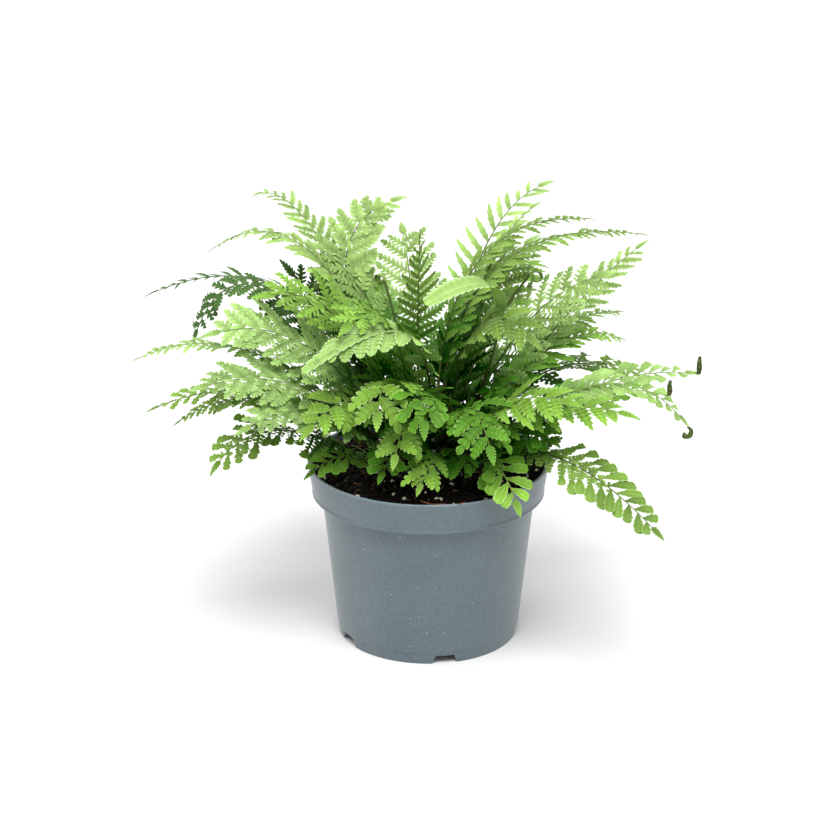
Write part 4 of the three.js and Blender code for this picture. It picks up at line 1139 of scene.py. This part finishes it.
def leaflet_ends(skin, ribs):
    """The undivided end of each leaflet, with its toothed edge. Short leaflets have fewer
    and deeper teeth."""
    length = ribs.length * (1 - ribs.split) + END_OVERLAP
    fullness = np.clip(END_FULLNESS + FULLER_BY * ribs.length / FULLER_WITHIN, *FULLNESS_LIMITS)
    half = np.minimum(ribs.cut["breadth"] * (ribs.scale * fullness), length * BROADEST_END)
    at = np.maximum(ribs.split - END_INSET, 0.0)[:, None]
    heading = ribs.directions(at)[:, 0]
    grown = dict(base=ribs.points(at)[:, 0], reach=heading, upper=square_to(ribs.upper, heading),
                 length=length, half=half, droop=ribs.droop * END_DROOP,
                 sweep=ribs.sweep * ribs.turned(), tint=ribs.tint, shadow=ribs.shadow)
    teeth, depth, lean, form = ribs.cut["teeth"]
    short = length < SHORT_LEAFLET
    for chosen, number, deeper in ((~short, teeth, 1.0), (short, SHORT_TEETH, SHORT_DEEPER)):
        some = {name: value[chosen] for name, value in grown.items()}
        if np.any(chosen):
            leaflet_bodies(skin, some, ribs.cut["end"], toothed_edge(number, form), depth * deeper, lean)


def small_divisions(skin, ribs, draw):
    """The small divisions in two rows along the split share of each leaflet's rib. The
    first one on the side of the frond's tip is the longest."""
    spacing, full_length, full_half, fullest = ribs.cut["pip"]
    scale = ribs.scale * np.clip(ribs.length / PIP_FULL_FROM, PIP_SMALLEST, 1.0)
    most = max(1, int(np.max(ribs.split * ribs.length / scale) / spacing))
    number, row = (grid.ravel() for grid in np.meshgrid(np.arange(most), [1.0, -1.0], indexing="ij"))
    s = (number + 0.5 + PIP_STAGGER * row) * (spacing * scale / ribs.length)[:, None]
    kept = s < ribs.split[:, None]
    owner, which = np.nonzero(kept)
    if len(owner) == 0:
        return
    s = np.where(kept, s, 0)
    at = s[owner, which]
    jitter = scatter(draw, PIP_SPREAD, len(owner))
    heading, side = ribs.directions(s)[owner, which], row[which][:, None]
    angle = np.radians(lerp(*PIP_ANGLES, at) + jitter("turn"))[:, None]
    tip_up = np.radians(PIP_LIFT + jitter("lift"))[:, None]
    aside = ribs.forward[owner] * side * np.cos(tip_up) + ribs.upper[owner] * np.sin(tip_up)
    reach = unit(heading * np.cos(angle) + aside * np.sin(angle))
    length = full_length * scale[owner] * (1 - PIP_SHORTENING * (at / ribs.split[owner]) ** 2)
    first = (number[which] == 0) & (row[which] > 0)
    length *= np.where(first, FIRST_PIP_LONGER, 1.0) * (1 + jitter("length"))
    grown = dict(base=ribs.points(s)[owner, which], reach=reach, upper=square_to(ribs.upper[owner], reach),
                 length=length, half=full_half * scale[owner] * (1 + jitter("half")),
                 droop=PIP_DROOP + jitter("droop"), sweep=jitter("sweep"),
                 tint=np.clip(ribs.tint[owner] + jitter("tint"), 0, 1),
                 shadow=ribs.shadow[owner])
    leaflet_bodies(skin, grown, (fullest, PIP_TAPER), PLAIN_EDGE, broad=False)


def joined_blade(skin, ribs):
    """An undivided frond: one long blade along the arch, with a saw edge and pleats."""
    edge = toothed_edge(JOINED_TEETH, "saw")
    shares = ribs.stalk + (1 - ribs.stalk) * edge[0]
    points, along, across, over = framing(ribs.arch, shares, ribs.roll)
    ends = framing(ribs.arch, np.array([ribs.stalk, JOINED_END]), ribs.roll)[0]
    width = ribs.cut["core"] * envelope(edge[0], *JOINED_SHAPE)[None]
    values = dict(tint=0.5, depth=clump_depth(points[-1:]) * ribs.shadow.min(), stem=0.0)
    spine = (points[None], ends[None], along[None], -across[None], over[None])
    thin_blades(skin, spine, width, edge, JOINED_DEPTH, JOINED_LEAN, values)


def end_leaflet(skin, ribs):
    """One narrow toothed leaflet at the frond's tip."""
    at = np.array([1 - LAST_FROM / ribs.parts * (1 - ribs.stalk)])
    points, along, _, over = framing(ribs.arch, at, ribs.roll)
    length = np.array([LAST_LENGTH * ribs.blade / ribs.parts])
    teeth, depth, lean = LAST_TEETH
    grown = dict(base=points, reach=along, upper=over, length=length, half=length * LAST_WIDTH,
                 droop=LAST_DROOP, sweep=0.0, tint=0.5, shadow=1.0)
    leaflet_bodies(skin, grown, LAST_SHAPE, toothed_edge(teeth, ribs.cut["teeth"][3]), depth, lean)


def leafy_frond(name, material, frond, seed):
    """One frond's blade. It is one joined leaf, or a midrib with pairs of leaflets that
    shorten to its tip, or both. A leaflet has an undivided end and may have small
    divisions, and one narrow toothed leaflet ends the blade."""
    draw = np.random.default_rng(seed)
    ribs = Ribs(frond, draw)
    cut = ribs.cut
    skin = Skin()
    if "core" in cut:
        joined_blade(skin, ribs)
    if "breadth" in cut:
        bars_of(skin, ribs)
        leaflet_ends(skin, ribs)
        if "pip" in cut:
            small_divisions(skin, ribs, draw)
        end_leaflet(skin, ribs)
    finish_piece(skin.piece(name, material, CRISP_GROWTH), "leaf", name.replace("leafy_", ""))


# ---------------------------------------------------------------- crown and croziers


def crown_and_stalks(material, arches, seed):
    """The crown is a low scaly lump, and each stalk a round bar that follows its frond's
    arch from inside it to the foot of the blade. The short stalks of low fronds are
    green."""
    turn = np.linspace(0, 2 * np.pi, num=120, endpoint=False)
    rise = np.linspace(0, 1, num=30)[:, None]
    radius = CROWN_RADIUS * np.interp(rise, CROWN_STEPS, CROWN_SHARES)
    level = np.interp(rise, CROWN_STEPS, CROWN_LEVELS)
    x, y = radius * np.cos(turn), radius * np.sin(turn)
    draw = np.random.default_rng(seed)
    scales = sum(lumps(x, y, size, draw) * CROWN_SCALE_RISE for size in CROWN_SCALE_SIZES)
    level = level + np.where(rise > CROWN_STEPS[1], scales - CROWN_SCALE_RISE, 0)
    skin = Skin()
    skin.add(np.stack([x, y, level + 0 * turn], -1)[None], on_axis(CROWN_LEVELS[0]),
             on_axis(CROWN_LEVELS[-1] - CROWN_SCALE_RISE), age=CROWN_AGE)
    for arch, stalk in arches:
        shares = np.linspace(0, stalk + STALK_PAST_BLADE, num=18)
        points, along, across, _ = framing(arch, shares, 0.0)
        greener = GREEN_STALK if stalk < LOWEST_FOOT else 0.0
        skin.add_bar(points, along, across, stalk_radius(shares), corners=7, age=shares / stalk + greener)
    finish_piece(skin.piece("rootstock_and_stalks", material, CRISP_GROWTH), "stalk", "crown")


def curled_frond(name, material, crozier):
    """A young frond: the top of its shaft, then a curl that tightens as it turns, with
    folded leaflets as small scales along the outside of the curl."""
    arch = arch_of(crozier["bend"], crozier["mid"])
    shaft = along_arch(arch, np.linspace(CROZIER_STALK, SHAFT_END, SHAFT_RINGS))[0]
    end, along = (found[0] for found in along_arch(arch, np.array([1.0]))[:2])
    out = unit(np.array([along[0], along[1], 0]))
    side = unit(np.cross(out, UP))
    inwards = -unit(np.cross(side, along))
    share = np.linspace(0, 1, CURL_RINGS)
    angle = 2 * np.pi * CURL_TURNS * share
    radius = crozier["curl"] * (1 - CURL_TIGHTENING * share)
    centre = end + inwards * crozier["curl"]
    curl = centre - (np.cos(angle) * radius)[:, None] * inwards + (np.sin(angle) * radius)[:, None] * along
    centres = np.concatenate([shaft, curl])
    direction = unit(np.gradient(centres, axis=0))
    sides = np.broadcast_to(unit(np.cross(along, inwards)), centres.shape)
    brown = np.repeat(CROZIER_BROWN, (SHAFT_RINGS, CURL_RINGS))
    skin = Skin()
    skin.add_bar(centres, direction, sides, np.linspace(*CROZIER_RADII, len(centres)), corners=8,
                 tint=CROZIER_TINT, depth=0.0, stem=brown)
    rows = np.arange(SHAFT_RINGS + FIRST_SCALE, len(centres) - 2, 2)
    outer = unit(centres[rows] - centre)
    ahead, outwards, aside = SCALE_REACH
    for flank in (1.0, -1.0):
        base = centres[rows] + sides[rows] * SCALE_ASIDE * flank
        reach = unit(direction[rows] * ahead + outer * outwards + sides[rows] * aside * flank)
        face = unit(np.cross(reach, direction[rows]) * flank)
        length = np.linspace(*SCALE_LENGTHS, len(rows))
        grown = dict(base=base, reach=reach, upper=square_to(face, reach), length=length,
                     half=length * SCALE_WIDTH, droop=SCALE_DROOP, sweep=0.0, tint=SCALE_TINT, shadow=0.0)
        leaflet_bodies(skin, grown, SCALE_SHAPE, PLAIN_EDGE, broad=False)
    node = name.replace("curled_frond", "crozier")
    finish_piece(skin.piece(name, material, CRISP_GROWTH), "young_leaf", node)


# ---------------------------------------------------------------- all the pieces


def back_fronds():
    """The fronds of the far side, drawn by the same rule and the same draws as the solids."""
    state = BACK_SEED

    def within(spread):
        nonlocal state
        state = (state * DRAW_FACTOR + DRAW_STEP) % DRAW_RANGE
        return spread * (2 * state / DRAW_RANGE - 1)

    fronds = []
    for index in range(BACK_COUNT):
        (reach, height), (mid_reach, mid_height), *look = BACK_TIERS[index % len(BACK_TIERS)]
        turn = lerp(BACK_FROM, BACK_TO, (index + 0.5) / BACK_COUNT) + within(BACK_TURN_SPREAD)
        reach = reach * (1 + within(BACK_REACH_SPREAD))
        tip = polar(reach, turn, height + within(BACK_RISE_SPREAD))
        mid = polar(mid_reach, turn + within(BACK_TURN_SPREAD), mid_height)
        fronds.append(frond_of(tip, mid, *look, roll=BACK_ROLL))
    return fronds


def soil_and_litter():
    """The soil in the pot, and what lies on it. Damp peat is near black and has no gloss.
    Perlite is volcanic glass puffed up by heat, chalky and off-white. Shredded bark is
    brown and fibrous, and the dry rootlet tan and woody."""
    peat = mottled_matter("damp_peat", "070504", "1c120b", grain=1.2, roughness=0.9, bump=0.3)
    perlite = mottled_matter("expanded_perlite", "cfc4aa", "f6f0de", grain=0.5, roughness=0.85, bump=0.15)
    bark = mottled_matter("shredded_bark", "3a2416", "7a5434", grain=0.8, roughness=0.8, bump=0.2)
    root = mottled_matter("dry_rootlet", "6b4028", "a8714c", grain=0.7, roughness=0.7, bump=0.1)
    potting_soil(peat, seed=11)
    pebbles("peat_crumbs", peat, count=1500, size=1.5, stretch=1.2, sink=0.25, seed=12)
    pebbles("perlite_grains", perlite, count=80, size=1.75, stretch=1.15, sink=0.2, seed=13)
    pebbles("bark_shreds", bark, count=130, size=1.1, stretch=3.4, sink=0.1, seed=14)
    thread("loose_rootlet", root, ROOTLET, ROOTLET_RADII, corners=6, slot="soil")


def potted_fern():
    """Makes every piece of the object."""
    grey_pot(grained_polypropylene())
    soil_and_litter()
    fronds = FRONDS + back_fronds()
    arches = [(arch_of(frond["tip"], frond["mid"]), frond["stalk"]) for frond in fronds]
    arches += [(arch_of(crozier["bend"], crozier["mid"]), CROZIER_STALK) for crozier in CROZIERS]
    crown_and_stalks(wiry_stalk(), arches, seed=15)
    greens = {name: leaf_blade(name + "_fern_leaf", *tones) for name, tones in LEAF_GREENS.items()}
    for index, frond in enumerate(fronds, 1):
        leafy_frond(f"leafy_frond_{index:02d}", greens[frond["leaf"]], frond, FROND_SEEDS + index)
    for index, crozier in enumerate(CROZIERS, 1):
        curled_frond(f"curled_frond_{index}", greens["olive"], crozier)
    # A leaf that has dried on the plant is dull brown-green and crumpled.
    withered = mottled_matter("withered_leaf", "22300f", "5a6c30", grain=1.0, roughness=0.7, bump=0.2)
    for name, path in WITHERED_TIPS.items():
        thread(name, withered, path, WITHERED_RADII, corners=8, slot="leaf")


# ---------------------------------------------------------------- stage, lights and camera
# All in metres, apart from the camera's lens and sensor.

FLOOR_HALF = 6.0
WORLD_LIGHT = 0.8
SENSOR_WIDTH = 36.0
CAMERA_ELEVATION = 20.6
CAMERA_DISTANCE = 1.2
CAMERA_AIM = Vector((-0.00414, 0.0, 0.1111))
CAMERA_LENS = 104.4


def stage():
    """A plain pale floor, level with the pot's underside."""
    mesh = bpy.data.meshes.new("pale_floor")
    corners = [(-1, -1, 0), (1, -1, 0), (1, 1, 0), (-1, 1, 0)]
    mesh.from_pydata([Vector(c) * FLOOR_HALF for c in corners], [], [(0, 1, 2, 3)])
    mesh.materials.append(white_board())
    placed("pale_floor", mesh)


def softbox(name, place, aim, size, power, colour="ffffff"):
    """A square light at a place, facing the aim point."""
    light = bpy.data.lights.new(name, "AREA")
    light.size = size
    light.energy = power
    light.color = linear(colour)[:3]
    lamp = placed(name, light)
    lamp.location = place
    lamp.rotation_euler = (Vector(aim) - Vector(place)).to_track_quat("-Z", "Y").to_euler()


def lighting():
    """A white studio: even light from all round, a softbox above the front, a wide one
    over the floor behind the plant that keeps it white, and a small one from the left."""
    world = bpy.data.worlds.new("white_studio")
    world.use_nodes = True
    background = world.node_tree.nodes["Background"]
    background.inputs["Color"].default_value = linear("ffffff")
    background.inputs["Strength"].default_value = WORLD_LIGHT
    bpy.context.scene.world = world
    softbox("front_softbox", (0.1, -1.0, 2.0), (0, 0, 0.1), 1.1, 62.0)
    softbox("back_softbox", (-0.3, 1.9, 1.8), (-0.1, 1.9, 0), 2.2, 32.0)
    softbox("left_softbox", (-1.5, 0.5, 0.9), (0, 0, 0.12), 0.8, 6.0, "fffdf8")
    bpy.context.scene.view_settings.view_transform = "Standard"


def camera():
    """The camera looks slightly down at the pot from the front, from far enough away that
    the pot's sides stay nearly parallel."""
    data = bpy.data.cameras.new("front_camera")
    data.sensor_width = SENSOR_WIDTH
    data.lens = CAMERA_LENS
    made = placed("front_camera", data)
    tilt = math.radians(CAMERA_ELEVATION)
    made.location = CAMERA_AIM + CAMERA_DISTANCE * Vector((0, -math.cos(tilt), math.sin(tilt)))
    made.rotation_euler = (math.radians(90 - CAMERA_ELEVATION), 0, 0)
    bpy.context.scene.camera = made


camera()
stage()
lighting()
potted_fern()
